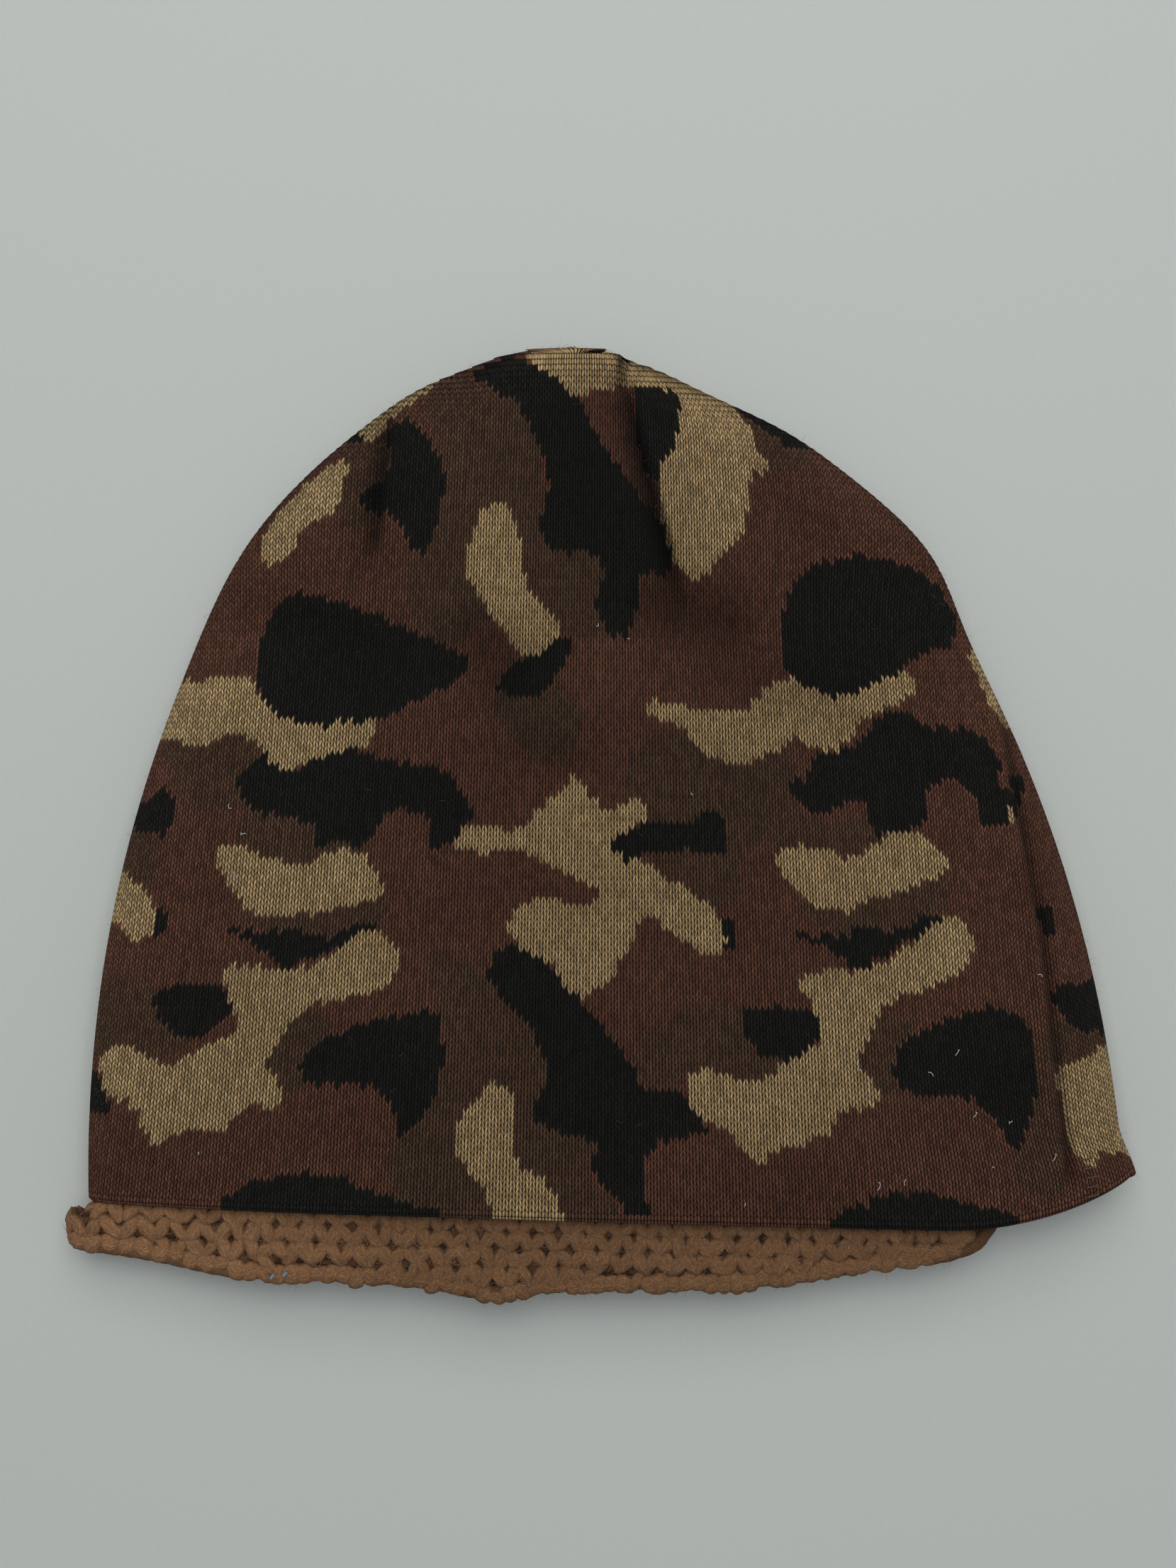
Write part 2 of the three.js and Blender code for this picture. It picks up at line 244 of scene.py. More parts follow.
def fullness(across, y):
    """The cloth's own outline next to the plain one: fuller at the shoulders and the hem's back corner."""
    front = 1.5 + 2.8 * np.exp(-(((y - 155) / 24) ** 2)) + 1.5 * np.exp(-(((y - 190) / 7) ** 2))
    back = 5.2 * np.exp(-(((y - 153) / 17) ** 2)) - 5.5 * np.exp(-(((y - 189) / 8) ** 2))
    back = back + 3.2 * smooth((21 - y) / 14)
    return np.sign(across) * np.abs(across) ** 3 * np.where(across < 0, front, back)


def crown_overlap(x, y):
    """The folded cloth at the crown ends in a step."""
    return 1.5 * smooth((x + 36) / 16) * smooth((4.5 - x) / 2.2) * smooth((y - 178) / 18)


# ---------------------------------------------------------------- camouflage
BURGUNDY, TAUPE, BLACK, TAN = 0, 1, 2, 3
REPEAT_ACROSS = 137.5  # how far round the hat the camouflage begins again
# Each patch: its yarn, and the points that its rounded outline passes through, as places on the hat (across
# at the hem's scale, height above the hem). A patch that is repeated then says how far off: across, up and lean.
PATCHES = [
    (TAUPE, [(-44, 58), (-34, 57), (-26, 51), (-18, 42), (-14, 32), (-17, 22), (-7, 19), (-2, 14),
         (-4, 8), (2, 1), (-8, -6), (-22, -7), (-46, -2), (-50, 12), (-48, 20), (-43, 28), (-39, 36),
         (-40, 46)]),
    (TAUPE, [(-90, 92), (-73, 90), (-69, 85), (-62, 84), (-62, 79), (-84, 78), (-92, 85)]),
    (TAUPE, [(-114, 108), (-92, 110), (-88, 103), (-90, 95), (-97, 91), (-106, 93), (-111, 99)]),
    (TAUPE, [(-88, 71), (-57, 73), (-56, 66), (-70, 62), (-85, 65)], (136, 2, 0.1)),
    (TAUPE, [(-81, 42), (-77, 46), (-70, 47), (-66, 42), (-71, 34), (-70, 30), (-78, 28), (-82, 33)],
         (137.5, -2, 0)),
    (TAUPE, [(6, 38), (15, 45), (28, 48), (34, 42), (44, 36), (33, 30), (20, 32), (14, 29), (7, 31)]),
    (TAUPE, [(-122, 52), (-112, 53), (-106, 49), (-98, 42), (-104, 36), (-122, 36)]),
    (TAUPE, [(-122, 87), (-114, 86), (-112, 76), (-116, 72), (-122, 74)]),
    (TAUPE, [(5, 104), (12, 108), (22, 107), (33, 101), (45, 106), (46, 93), (54, 89), (66, 90), (69, 84),
         (46, 82), (34, 84), (29, 71), (18, 72), (8, 81), (3, 92)]),
    (TAUPE, [(95, 28), (100, 32), (103, 44), (104, 30), (104, 10), (100, 4), (92, 8), (94, 18)]),
    (TAUPE, [(-30, 118), (-15, 120), (-8, 114), (-9, 106), (-17, 102), (-25, 108)]),
    (TAUPE, [(-50, 188), (-38, 190), (-26, 186), (-20, 176), (-17, 160), (-4, 152), (4, 142), (0, 130),
         (-13, 132), (-22, 138), (-34, 134), (-40, 130), (-50, 132), (-54, 143), (-50, 155), (-45, 165),
         (-50, 178)]),
    (TAUPE, [(-74, 176), (-62, 182), (-61, 172), (-66, 158), (-72, 156), (-76, 164)]),
    (TAUPE, [(31, 185), (42, 182), (56, 172), (46, 169), (40, 172), (36, 178)]),
    (TAUPE, [(7, 170), (14, 172), (19, 160), (16, 150), (9, 158)]),
    (BLACK, [(-85, 140.5), (-71, 138.5), (-61, 135), (-50, 131.5), (-41, 128), (-36.5, 124.5),
         (-39, 121.5), (-48, 117.5), (-58, 112), (-68, 110), (-79, 110), (-86, 113), (-91, 119),
         (-92, 127), (-89.5, 136)]),
    (BLACK, [(91.7, 133.7), (88, 128.4), (77.4, 124.8), (64.7, 116), (52.8, 118), (45, 124),
         (45.4, 135.5), (50.1, 144.3), (56.6, 147.9), (67.1, 149.3), (77.4, 147.9), (86.4, 143.4)]),
    (BLACK, [(-89, 3), (-78, 8.6), (-67, 9.9), (-57, 6.8), (-46, 4), (-37, 1), (-32, -4), (-58, -9),
         (-89, -5)], (138, -4, 0)),
    (BLACK, [(-94, 98), (-91.5, 100.5), (-89, 103.5), (-85, 102.5), (-78, 101), (-74, 104), (-66, 105.5),
         (-60, 103.5), (-50, 102), (-41, 100.5), (-38, 96.4), (-34.5, 91), (-36.4, 87), (-43, 83),
         (-45.4, 86), (-44.5, 90), (-53, 92), (-57, 89.3), (-60.5, 83), (-67, 85), (-72, 83.5),
         (-73.5, 88), (-82, 90), (-90, 92.5)]),
    (BLACK, [(44, 97), (49, 99), (52, 103.5), (62, 106), (68, 112), (75, 113.5), (81, 110), (93, 109.5),
         (98.5, 103), (98, 97), (102.5, 95), (101, 90), (93, 88.5), (91.5, 94), (85, 98.5), (79, 95),
         (78, 89), (68, 86.5), (64.5, 88), (64, 93), (58, 93.5), (52, 90.5), (47, 93)]),
    (BLACK, [(44, 64), (54, 63.4), (61.4, 65), (70, 64.3), (74.3, 67), (81, 68), (75.7, 64), (64.3, 58.6),
         (60, 55.5), (55, 59), (46, 63)], (-138, -0.5, -0.1)),
    (BLACK, [(30.7, 45.7), (34.3, 47.3), (46, 47), (49.8, 42.5), (44.5, 37), (38, 36), (32.5, 40)],
         (-139.5, 4.5, 0)),
    (BLACK, [(-72.5, 34.3), (-69, 39), (-60, 43), (-50, 45.7), (-42.5, 46.7), (-39.6, 41), (-40, 30),
         (-44, 23), (-48, 19), (-50, 24), (-54, 29), (-64, 30), (-70, 30.5)]),
    (BLACK, [(66, 33), (68, 38), (76, 43), (86, 46), (93, 46.5), (98.5, 43), (100, 33), (98, 25),
         (93, 15), (89, 21), (83, 26.5), (76, 27.5), (69, 28)]),
    (BLACK, [(-0.7, 84.3), (1.5, 86.6), (11.4, 88.8), (18, 88.3), (25, 91.2), (28.3, 88), (27, 81.5),
         (20, 82.3), (10, 82), (2.5, 80.6)], (-138, 4.5, 0)),
    (BLACK, [(27.5, 60.5), (27, 66), (29.5, 67), (30.3, 63.5)], (-138.5, 2, 0)),
    (BLACK, [(-29, 56), (-26, 60.5), (-20, 61.7), (-15.7, 57), (-8, 50), (-4.3, 45.7), (1, 39.5),
         (5, 34.3), (7, 30), (17, 27), (21.7, 19.7), (17, 18), (10, 16.5), (7, 9), (8.6, 1.4), (3, 2.6),
         (-4, 10.5), (-3.5, 16), (-8, 19), (-15, 20), (-18, 24.3), (-15, 32), (-19, 43), (-28, 51.7)],
         (-138.5, 4, 0)),
    (BLACK, [(-38, 190.5), (-30, 195), (-20, 193), (-12, 187), (-7, 182), (-2, 174), (8, 163), (17, 155),
         (19, 150), (14, 145), (8, 145), (6, 134), (1, 130.5), (-4, 137), (-2, 145), (-6, 150),
         (-15, 150), (-19, 156), (-17, 166), (-21, 176), (-27, 184)]),
    (BLACK, [(-29.3, 118.4), (-27, 122), (-22, 126.4), (-13, 131), (-9.6, 129), (-13.5, 123),
         (-16, 118.6), (-24, 117)]),
    (BLACK, [(-61.5, 178), (-57, 180.5), (-51, 176), (-46, 169), (-46, 161), (-50, 150), (-53, 151),
         (-58, 157), (-68, 161), (-66, 165.5), (-61.5, 168)]),
    (BLACK, [(6.5, 188), (12, 189), (19, 188), (21, 181), (17, 173), (12, 167), (8, 174)]),
    (BLACK, [(36, 184), (44, 183), (55, 175), (50, 174), (42, 179)]),
    (BLACK, [(-74, 181), (-68, 182), (-66, 178), (-72, 175)]),
    (TAN, [(9.5, 113.5), (12, 116.5), (20, 114.3), (33, 114.6), (42, 120), (47, 120.8), (54, 118.3),
         (62, 117.4), (71, 121.5), (77, 122.4), (78.5, 119), (73, 115), (65.7, 113), (60, 107.3),
         (53, 105), (48.5, 106.8), (46.5, 108), (40, 104), (32, 101.8), (23, 104.6), (17, 110)]),
    (TAN, [(-122, 110), (-115, 120), (-104, 121.5), (-94, 121), (-89.5, 116.5), (-84, 112.5),
         (-77, 110.5), (-66, 111.8), (-60, 110.5), (-62, 106), (-70, 104.5), (-80, 100.7), (-86, 102),
         (-90, 106.5), (-97, 108.3), (-104, 106.5), (-112, 107)]),
    (TAN, [(40, 81), (43, 83.5), (52, 82.8), (61, 81.5), (68, 85.5), (75, 87.2), (80.5, 83), (82.6, 79),
         (77, 75.3), (64.3, 71.4), (57, 69), (50, 69.8), (45, 74)], (-138, -2.5, -0.15)),
    (TAN, [(44.5, 53), (50, 55.6), (60, 55.6), (70, 60), (77, 65.5), (83, 67.3), (87, 62.5), (85, 56),
         (74, 51), (65.7, 48), (61, 41), (57.6, 34), (62, 29), (60.5, 25), (54, 24), (49, 18.5),
         (38, 15.6), (33, 12.6), (27, 19.5), (19, 23), (17.5, 29), (21, 33.2), (28, 32), (35, 31.2),
         (43, 36.4), (49.5, 41), (47, 48)], (-138, 1, -0.13)),
    (TAN, [(-38.5, 84), (-35, 88), (-24, 87), (-18, 92), (-13, 95), (-9.5, 99.5), (-5, 95), (-1, 91.3),
         (5, 94.2), (9.3, 90.5), (5, 87.6), (0, 84), (3, 80.7), (9.3, 80), (12, 77), (19, 73.5),
         (26, 67.5), (27.4, 61), (24, 58.6), (17, 62), (8.6, 67.5), (4.5, 61), (-1, 53), (-8, 50),
         (-15, 57), (-22.5, 61.6), (-25, 66), (-19, 72), (-8.6, 70.7), (-2.5, 70.8), (-5, 74.5),
         (-15, 79), (-22, 82.3), (-34, 82)], (-138, 3, 0)),
    (TAN, [(-28, 30), (-23, 27.5), (-21.5, 14), (-15, 8), (-11, 1), (-14, -5), (-24, -4), (-29, 6),
         (-35, 14), (-35.5, 20), (-31, 27)]),
    (TAN, [(-39, 148), (-36, 157), (-32, 160.5), (-27, 159), (-24, 151), (-22, 142), (-14, 134),
         (-15, 128.5), (-23, 127), (-29, 133), (-35.5, 140)]),
    (TAN, [(-24, 196), (-17, 191), (-11, 186), (-4, 187), (2, 187.5), (5, 193), (2, 200), (-14, 200)]),
    (TAN, [(4, 189), (16, 188.5), (30, 187), (37.5, 180), (41, 173.5), (44.5, 170), (38, 166),
         (36.5, 157), (31, 150.5), (24, 143.8), (18, 146), (14, 158), (13, 168), (18, 175), (19, 184),
         (14, 190), (8, 193)]),
    (TAN, [(2.5, 197), (10, 194.5), (20, 191), (28, 187.5), (24, 183), (17, 186.5), (8, 188),
         (2.5, 189)]),
    (BURGUNDY, [(-56, 187), (-46, 190), (-38, 192.5), (-30, 195), (-26, 199), (-40, 203), (-58, 196)]),
    (TAN, [(-94, 148), (-93, 157), (-86, 164), (-79, 169), (-74, 172), (-73, 167), (-76, 159),
         (-83, 155.5), (-86, 150), (-90, 147.5)]),
    (TAN, [(-70, 182), (-58, 190), (-49, 191), (-52, 187), (-60, 181.5), (-68, 175.5)]),
    (TAN, [(94, 127), (96, 121), (100, 112), (106, 108), (106, 124), (100, 132)]),
    (TAN, [(99, 93), (100.6, 90), (100, 88.5), (98.6, 91)]),
]
# The cloth beyond the back seam is cut from another place.
BEHIND_SEAM = [
    (TAUPE, [(104, 42), (112, 44), (122, 42), (122, 34), (112, 35), (104, 34)]),
    (BLACK, [(105.5, 50), (112, 52), (124, 52), (124, 40), (113, 41.5), (108, 44)]),
    (BLACK, [(104.5, 69), (107.5, 69), (107.6, 64), (105, 63)]),
    (BLACK, [(100, 99), (104, 99.5), (103.5, 94), (100.5, 93)]),
    (TAN, [(104.8, 33), (110, 34), (116, 37), (124, 38), (124, 14), (114, 14), (110.5, 10.5), (107, 14),
           (105, 22)]),
    (TAN, [(93, 129), (96, 120), (101, 111), (110, 108), (110, 124), (104, 134)]),
]


def rounded(points, steps=6):
    """A closed curve through the points."""
    p = np.array(points, float)
    before, after, beyond = np.roll(p, 1, 0), np.roll(p, -1, 0), np.roll(p, -2, 0)
    t = (np.arange(steps) / steps)[:, None, None]
    curve = 0.5 * (2 * p + (after - before) * t + (2 * before - 5 * p + 4 * after - beyond) * t**2
                   + (3 * p - before - 3 * after + beyond) * t**3)
    return curve.transpose(1, 0, 2).reshape(-1, 2)


def inside(x, y, outline):
    """Which of the places lie inside a closed outline."""
    found = np.zeros(len(x), bool)
    near = np.flatnonzero((x > outline[:, 0].min()) & (x < outline[:, 0].max())
                          & (y > outline[:, 1].min()) & (y < outline[:, 1].max()))
    if len(near):
        px, py = x[near], y[near]
        odd = np.zeros(len(near), bool)
        for (ax, ay), (bx, by) in zip(outline, np.roll(outline, -1, 0)):
            if ay != by:
                odd ^= ((ay > py) != (by > py)) & (px < (bx - ax) * (py - ay) / (by - ay) + ax)
        found[near] = odd
    return found


def yarn_of(x, y):
    """The yarn of each stitch of the main panel, from its place on the hat."""
    yarn = np.zeros(len(x), int)
    for colour, points, *repeats in PATCHES:
        outline = rounded(points)
        centre = outline.mean(0)
        for across, up, lean in [(0, 0, 0), *repeats]:
            moved = outline + [across, up] + np.outer(outline[:, 0] - centre[0], [0, lean])
            yarn[inside(x, y, moved)] = colour
    return yarn


def upper_yarn(x, y):
    flat = x / narrowing(y)
    yarn = yarn_of(flat, y)
    behind = (x > back_seam(y)) & (y < 135)
    other = np.zeros(len(x), int)
    for colour, points in BEHIND_SEAM:
        other[inside(flat, y, rounded(points))] = colour
    return np.where(behind, other, yarn)


def lower_yarn(x, y):
    """The camouflage runs on round the front fold."""
    flat = -WIDTH - x / narrowing(y)
    return yarn_of((flat + FOLD) % REPEAT_ACROSS - FOLD, y)


# ---------------------------------------------------------------- shader maths
def add_node(tree, kind, settings=None, values=None):
    """A new node with its settings, and with each input linked to an output or given a value."""
    made = tree.nodes.new(kind)
    for name, setting in (settings or {}).items():
        setattr(made, name, setting)
    for socket, value in (values or {}).items():
        if isinstance(value, bpy.types.NodeSocket):
            tree.links.new(value, made.inputs[socket])
        else:
            made.inputs[socket].default_value = value
    return made


class Field:
    """A value, colour or direction that varies over a surface."""

    def __init__(self, shader, socket):
        self.shader, self.socket = shader, socket

    def _value(self, operation, *others):
        values = dict(enumerate(others))
        return self.shader.node("ShaderNodeMath", {"operation": operation}, values)

    def __add__(self, other):
        return self._value("ADD", self, other)

    def __sub__(self, other):
        return self._value("SUBTRACT", self, other)

    def __rsub__(self, other):
        return self._value("SUBTRACT", other, self)

    def __mul__(self, other):
        return self._value("MULTIPLY", self, other)

    def __pow__(self, other):
        return self._value("POWER", self, other)

    def __abs__(self):
        return self._value("ABSOLUTE", self)

    def sine(self):
        return self._value("SINE", self)

    def floor(self):
        return self._value("FLOOR", self)

    def ramp(self, low, high, to_low=0.0, to_high=1.0):
        return self.shader.node("ShaderNodeMapRange", {"interpolation_type": "SMOOTHSTEP"},
                                {0: self, 1: low, 2: high, 3: to_low, 4: to_high})

    __radd__ = __add__
    __rmul__ = __mul__


class Shader:
    """A material, and the kinds of node that it is made of."""

    def __init__(self, name, roughness=0.9, sheen=0.0, gloss=0.2):
        self.material = bpy.data.materials.new(name)
        self.material.use_nodes = True
        self.tree = self.material.node_tree
        self.surface = next(n for n in self.tree.nodes if n.type == "BSDF_PRINCIPLED")
        self.surface.inputs["Roughness"].default_value = roughness
        self.surface.inputs["Specular IOR Level"].default_value = gloss
        self.surface.inputs["Sheen Weight"].default_value = sheen
        self.surface.inputs["Sheen Roughness"].default_value = 0.5

    def node(self, kind, settings=None, values=None, output=0):
        values = {socket: value.socket if isinstance(value, Field) else value
                  for socket, value in (values or {}).items()}
        return Field(self, add_node(self.tree, kind, settings, values).outputs[output])

    def steps(self, colours, factor):
        """One of several colours, by equal steps of a value from 0 to 1."""
        made = add_node(self.tree, "ShaderNodeValToRGB", {}, {0: factor.socket})
        ramp = made.color_ramp
        while len(ramp.elements) < len(colours):
            ramp.elements.new(1.0)
        for i, (element, colour) in enumerate(zip(ramp.elements, colours)):
            element.position, element.color = i / len(colours), (*colour, 1)
        ramp.interpolation = "CONSTANT"
        return Field(self, made.outputs[0])

    def feed(self, **links):
        for name, value in links.items():
            self.tree.links.new(value.socket, self.surface.inputs[name.replace("_", " ")])

    def coordinates(self):
        return self.node("ShaderNodeTexCoord", output="Object")

    def attribute(self, name, output="Fac"):
        return self.node("ShaderNodeAttribute", {"attribute_name": name}, output=output)

    def part(self, vector, i):
        """One of a direction's three numbers."""
        return self.node("ShaderNodeSeparateXYZ", values={0: vector}, output=i)

    def uv(self):
        both = self.node("ShaderNodeUVMap", {"uv_map": "knit"})
        return self.part(both, 0), self.part(both, 1)

    def noise(self, scale, vector=None, detail=2.0, rough=0.5):
        vector = vector or self.coordinates()
        return self.node("ShaderNodeTexNoise", {}, {"Vector": vector, "Scale": scale, "Detail": detail,
                                                    "Roughness": rough})

    def chance(self, vector):
        return self.node("ShaderNodeTexWhiteNoise", {"noise_dimensions": "3D"}, {"Vector": vector})

    def vector(self, x, y, z=0.0):
        return self.node("ShaderNodeCombineXYZ", {}, {0: x, 1: y, 2: z})

    def mix(self, a, b, factor):
        return self.node("ShaderNodeMix", {"data_type": "RGBA"}, {0: factor, 6: a, 7: b}, output=2)

    def times(self, colour, amount):
        """A colour made darker or lighter by a value."""
        return self.node("ShaderNodeVectorMath", {"operation": "SCALE"}, {0: colour, "Scale": amount})

    def bump(self, height, distance, strength):
        return self.node("ShaderNodeBump", {}, {"Height": height, "Distance": distance, "Strength": strength})


CAMO_COLOURS = {
    BURGUNDY: (0.116, 0.049, 0.0295),
    TAUPE: (0.088, 0.047, 0.0275),
    BLACK: (0.0125, 0.0117, 0.0100),
    TAN: (0.425, 0.289, 0.139),
}


def camo_knit():
    """Fine stocking stitch in four yarns: two slanting legs to a stitch, with painted shade in the gaps between
    them.
    """
    s = Shader("camo knit", 0.95, 0.02, 0.10)
    u, v = s.uv()
    leg = abs((u * (2 * math.pi)).sine())
    loop = abs((v * math.pi).sine())
    height = leg**0.9 * (loop**0.6 * 0.75 + 0.25)
    twist = (u * 44.0 + v * 9.0).sine() * 0.5 + 0.5
    fibre = s.noise(2600.0, detail=3.0, rough=0.7)
    # The second attribute is painted shade: how far the cloth is darkened in folds, the dart, the seam groove
    # and a dimple.
    yarn, painted_shade = s.attribute("yarn"), s.attribute("painted_shade")
    colour = s.steps([CAMO_COLOURS[i] for i in range(4)], yarn * 0.25 + 0.125)
    each = s.chance(s.vector((u * 2.0).floor(), v.floor(), yarn))
    worn = s.noise(38.0, detail=3.0)
    patchy = s.noise(420.0, detail=2.0)
    # Painted shade: the height ramp darkens the gaps between the legs, and the last factor darkens the folds,
    # dart and seam groove; the other factors are the yarn's own varying tone.
    light = (height.ramp(0.10, 0.80, 0.06, 1.08) * (each * 0.55 + 0.72) * (fibre * 0.7 + 0.65)
             * (worn * 0.50 + 0.75) * (patchy * 0.5 + 0.75) * (twist * 0.16 + 0.92) * (1.0 - painted_shade * 0.70))
    # The dark yarns carried behind the tan show in the gaps between its stitches.
    gaps = yarn.ramp(2.4, 2.6) * (1.0 - height.ramp(0.12, 0.55)) * 0.55
    light = light * (1.0 - gaps)
    fluff = s.noise(900.0, detail=4.0, rough=0.75).ramp(0.60, 0.85, 0.0, 0.10)
    s.feed(Base_Color=s.mix(s.times(colour, light), (0.12, 0.085, 0.065, 1), fluff * 0.5),
           Roughness=height.ramp(0.0, 1.0, 0.98, 0.88),
           Normal=s.bump(height + twist * 0.12 + fibre * 0.35, 0.00045, 0.9))
    return s.material


def lining_knit():
    """The lining's plain knit, in one colour."""
    s = Shader("lining knit", 0.93, 0.02, 0.1)
    u, v = s.uv()
    height = abs((u * (2 * math.pi)).sine()) ** 0.7 * (abs((v * math.pi).sine()) ** 0.5 * 0.75 + 0.25)
    each = s.chance(s.vector(u.floor(), v.floor(), 0.5))
    # Painted shade: the height ramp darkens the gaps between the stitches.
    light = height.ramp(0.05, 0.6, 0.4, 1.0) * (each * 0.2 + 0.9) * (s.noise(70.0) * 0.4 + 0.8)
    worn = s.mix((0.055, 0.040, 0.031, 1), (0.085, 0.062, 0.048, 1), s.noise(300.0, detail=3.0))
    s.feed(Base_Color=s.times(worn, light),
           Normal=s.bump(height + s.noise(2500.0, detail=3.0) * 0.4, 0.0003, 0.8))
    return s.material


def chunky_yarn(name, light_colour, dark_colour):
    """Soft hairy yarn: fibre streaks run along each stitch, and each stitch's sides and underside are darker, as
    painted shade.
    """
    s = Shader(name, 0.96, 0.04, 0.08)
    at = s.attribute("stitch", "Vector")
    x, y, z = (s.part(at, i) for i in range(3))
    place = s.coordinates()
    streak = s.noise(1.0, s.vector(x * 2.2 + y * 1.5, y * 11.0 - x * 2.0, z * 11.0), detail=4.0, rough=0.65)
    hair = s.noise(1700.0, place, detail=4.0, rough=0.75)
    soft = s.noise(160.0, place, detail=2.0)
    # Painted shade: each stitch lighter on its outward top and darker towards its sides and underside.
    crown = z.ramp(-0.25, 0.70, 0.34, 1.03)
    front = s.part(place, 0).ramp(-0.095, -0.03, 1.03, 0.74)
    light = crown * front * (streak * 1.5 + 0.25) * (hair * 1.3 + 0.35) * (soft * 0.4 + 0.8)
    s.feed(Base_Color=s.times(s.mix((*dark_colour, 1), (*light_colour, 1), streak.ramp(0.3, 0.7)), light),
           Normal=s.bump(streak * 0.8 + hair * 0.7, 0.0006, 0.9))
    return s.material


def base_yarn():
    """The mask's fabric between and behind its raised stitches, painted a darker brown than their yarn as
    painted shade.
    """
    s = Shader("mask yarn base", 0.96, 0.02, 0.08)
    u, v = s.uv()
    height = abs((u * math.pi).sine()) ** 0.6 * abs((v * math.pi + u * 0.8).sine()) ** 0.6
    hair = s.noise(1500.0, detail=4.0, rough=0.7)
    # Painted shade: the height ramp darkens the gaps between the stitches.
    light = height.ramp(0.0, 0.8, 0.4, 1.0) * (hair * 0.6 + 0.7) * (s.noise(200.0) * 0.4 + 0.8)
    s.feed(Base_Color=s.times(s.mix((0.045, 0.022, 0.012, 1), (0.150, 0.078, 0.040, 1), hair), light),
           Normal=s.bump(height + hair * 0.4, 0.0012, 0.8))
    return s.material


def spun_thread(name, light_colour, dark_colour, pitch):
    """Twisted thread or cord on its own UV: u runs along it."""
    s = Shader(name, 0.8, 0.1)
    u, v = s.uv()
    ply = abs((u * pitch + v * (2 * math.pi)).sine())
    hair = s.noise(2400.0, detail=3.0)
    # Painted shade: darker in the grooves between the twisted strands.
    s.feed(Base_Color=s.times(s.mix((*dark_colour, 1), (*light_colour, 1), ply), hair * 0.5 + 0.75),
           Normal=s.bump(ply + hair * 0.3, 0.0002, 0.7))
    return s.material


def woven_label():
    s = Shader("label satin", 0.55, 0.1)
    u, v = s.uv()
    weave = (u * 60.0).sine() * (v * 40.0).sine()
    edge = abs(v * 2.0 - 1.0).ramp(0.86, 0.93)
    light = weave * 0.06 + 0.94
    s.feed(Base_Color=s.times(s.mix((0.62, 0.58, 0.50, 1), (0.48, 0.44, 0.37, 1), edge),
                              light * (s.noise(300.0) * 0.2 + 0.9)),
           Roughness=weave * 0.08 + 0.55, Normal=s.bump(weave, 0.00008, 0.6))
    return s.material


def lint_fluff(name, colour, greying=0.6):
    s = Shader(name, 0.95, 0.05, 0.05)
    s.feed(Base_Color=s.times(s.mix((*colour, 1), (0.5, 0.5, 0.5, 1), s.noise(900.0) * greying),
                              s.noise(1200.0) * 0.4 + 0.8))
    return s.material


def pale_table():
    s = Shader("pale table", 0.6)
    paper = s.mix((0.530, 0.552, 0.520, 1), (0.548, 0.569, 0.536, 1), s.noise(3.0, detail=4.0))
    s.feed(Base_Color=s.times(paper, s.noise(900.0, detail=2.0) * 0.05 + 0.975),
           Normal=s.bump(s.noise(1400.0, detail=3.0), 0.0001, 0.2))
    return s.material


# ---------------------------------------------------------------- making pieces
def placed(name, data):
    """An object of its own for a mesh, a lamp or a camera."""
    made = bpy.data.objects.new(name, data)
    bpy.context.scene.collection.objects.link(made)
    return made


def new_mesh(name, points, faces, material, uv, yarn=None, painted_shade=None):
    """points in the hat's own millimetres. uv is given for each point."""
    mesh = bpy.data.meshes.new(name)
    mesh.from_pydata(((np.asarray(points, float) + SHIFT) * MM).tolist(), [], faces)
    layer = mesh.uv_layers.new(name="knit")
    loops = np.zeros(len(mesh.loops), int)
    mesh.loops.foreach_get("vertex_index", loops)
    layer.data.foreach_set("uv", np.asarray(uv, float)[loops].ravel())
    if yarn is not None:
        mesh.attributes.new("yarn", "FLOAT", "FACE").data.foreach_set("value", np.asarray(yarn, float))
    # Per point, how far the cloth is darkened as painted shade in folds.
    if painted_shade is not None:
        mesh.attributes.new("painted_shade", "FLOAT", "POINT").data.foreach_set("value", painted_shade)
    mesh.materials.append(material)
    mesh.polygons.foreach_set("use_smooth", np.ones(len(mesh.polygons), bool))
    mesh.update()
    return placed(name, mesh)


def edited(piece, change):
    """Changes a piece's mesh in place."""
    work = bmesh.new()
    work.from_mesh(piece.data)
    change(work)
    work.to_mesh(piece.data)
    work.free()
    return piece


def join_doubles(work):
    """Joins points that fell together, as at a fold."""
    bmesh.ops.remove_doubles(work, verts=work.verts, dist=3e-6)
    bmesh.ops.dissolve_degenerate(work, edges=work.edges, dist=1e-7)
    loose = [v for v in work.verts if not v.link_faces]
    bmesh.ops.delete(work, geom=loose, context="VERTS")


def face_out(work):
    bmesh.ops.recalc_face_normals(work, faces=work.faces)


def grid_faces(rows, columns, keep=None, turned=False, ring=False):
    """The four-sided faces of a grid, or of a ring of rows: all of them, or the ones to keep."""
    j, k = np.meshgrid(np.arange(rows - 1), np.arange(columns - (0 if ring else 1)), indexing="ij")
    n = (k + 1) % columns
    quads = np.stack([j * columns + k, j * columns + n, (j + 1) * columns + n, (j + 1) * columns + k], -1)
    if turned:
        quads = quads[..., ::-1]
    return (quads[keep] if keep is not None else quads.reshape(-1, 4)).tolist()


TURN_UNDER = 8.0  # width of the hem allowance inside the shell
HEM_RADIUS = 0.8
STITCH_HEIGHT, EDGE_HEIGHT = 0.36, 0.15
STEEPNESS = 1.6  # how fast the folds die away where the wall turns down to its edges
QUARTER_HEIGHT = np.array([0.0, STITCH_HEIGHT, 0.05, STITCH_HEIGHT])  # wale edge, leg, middle, leg
QUARTER_SLANT = np.array([0.60, 0.0, -0.60, 0.0])


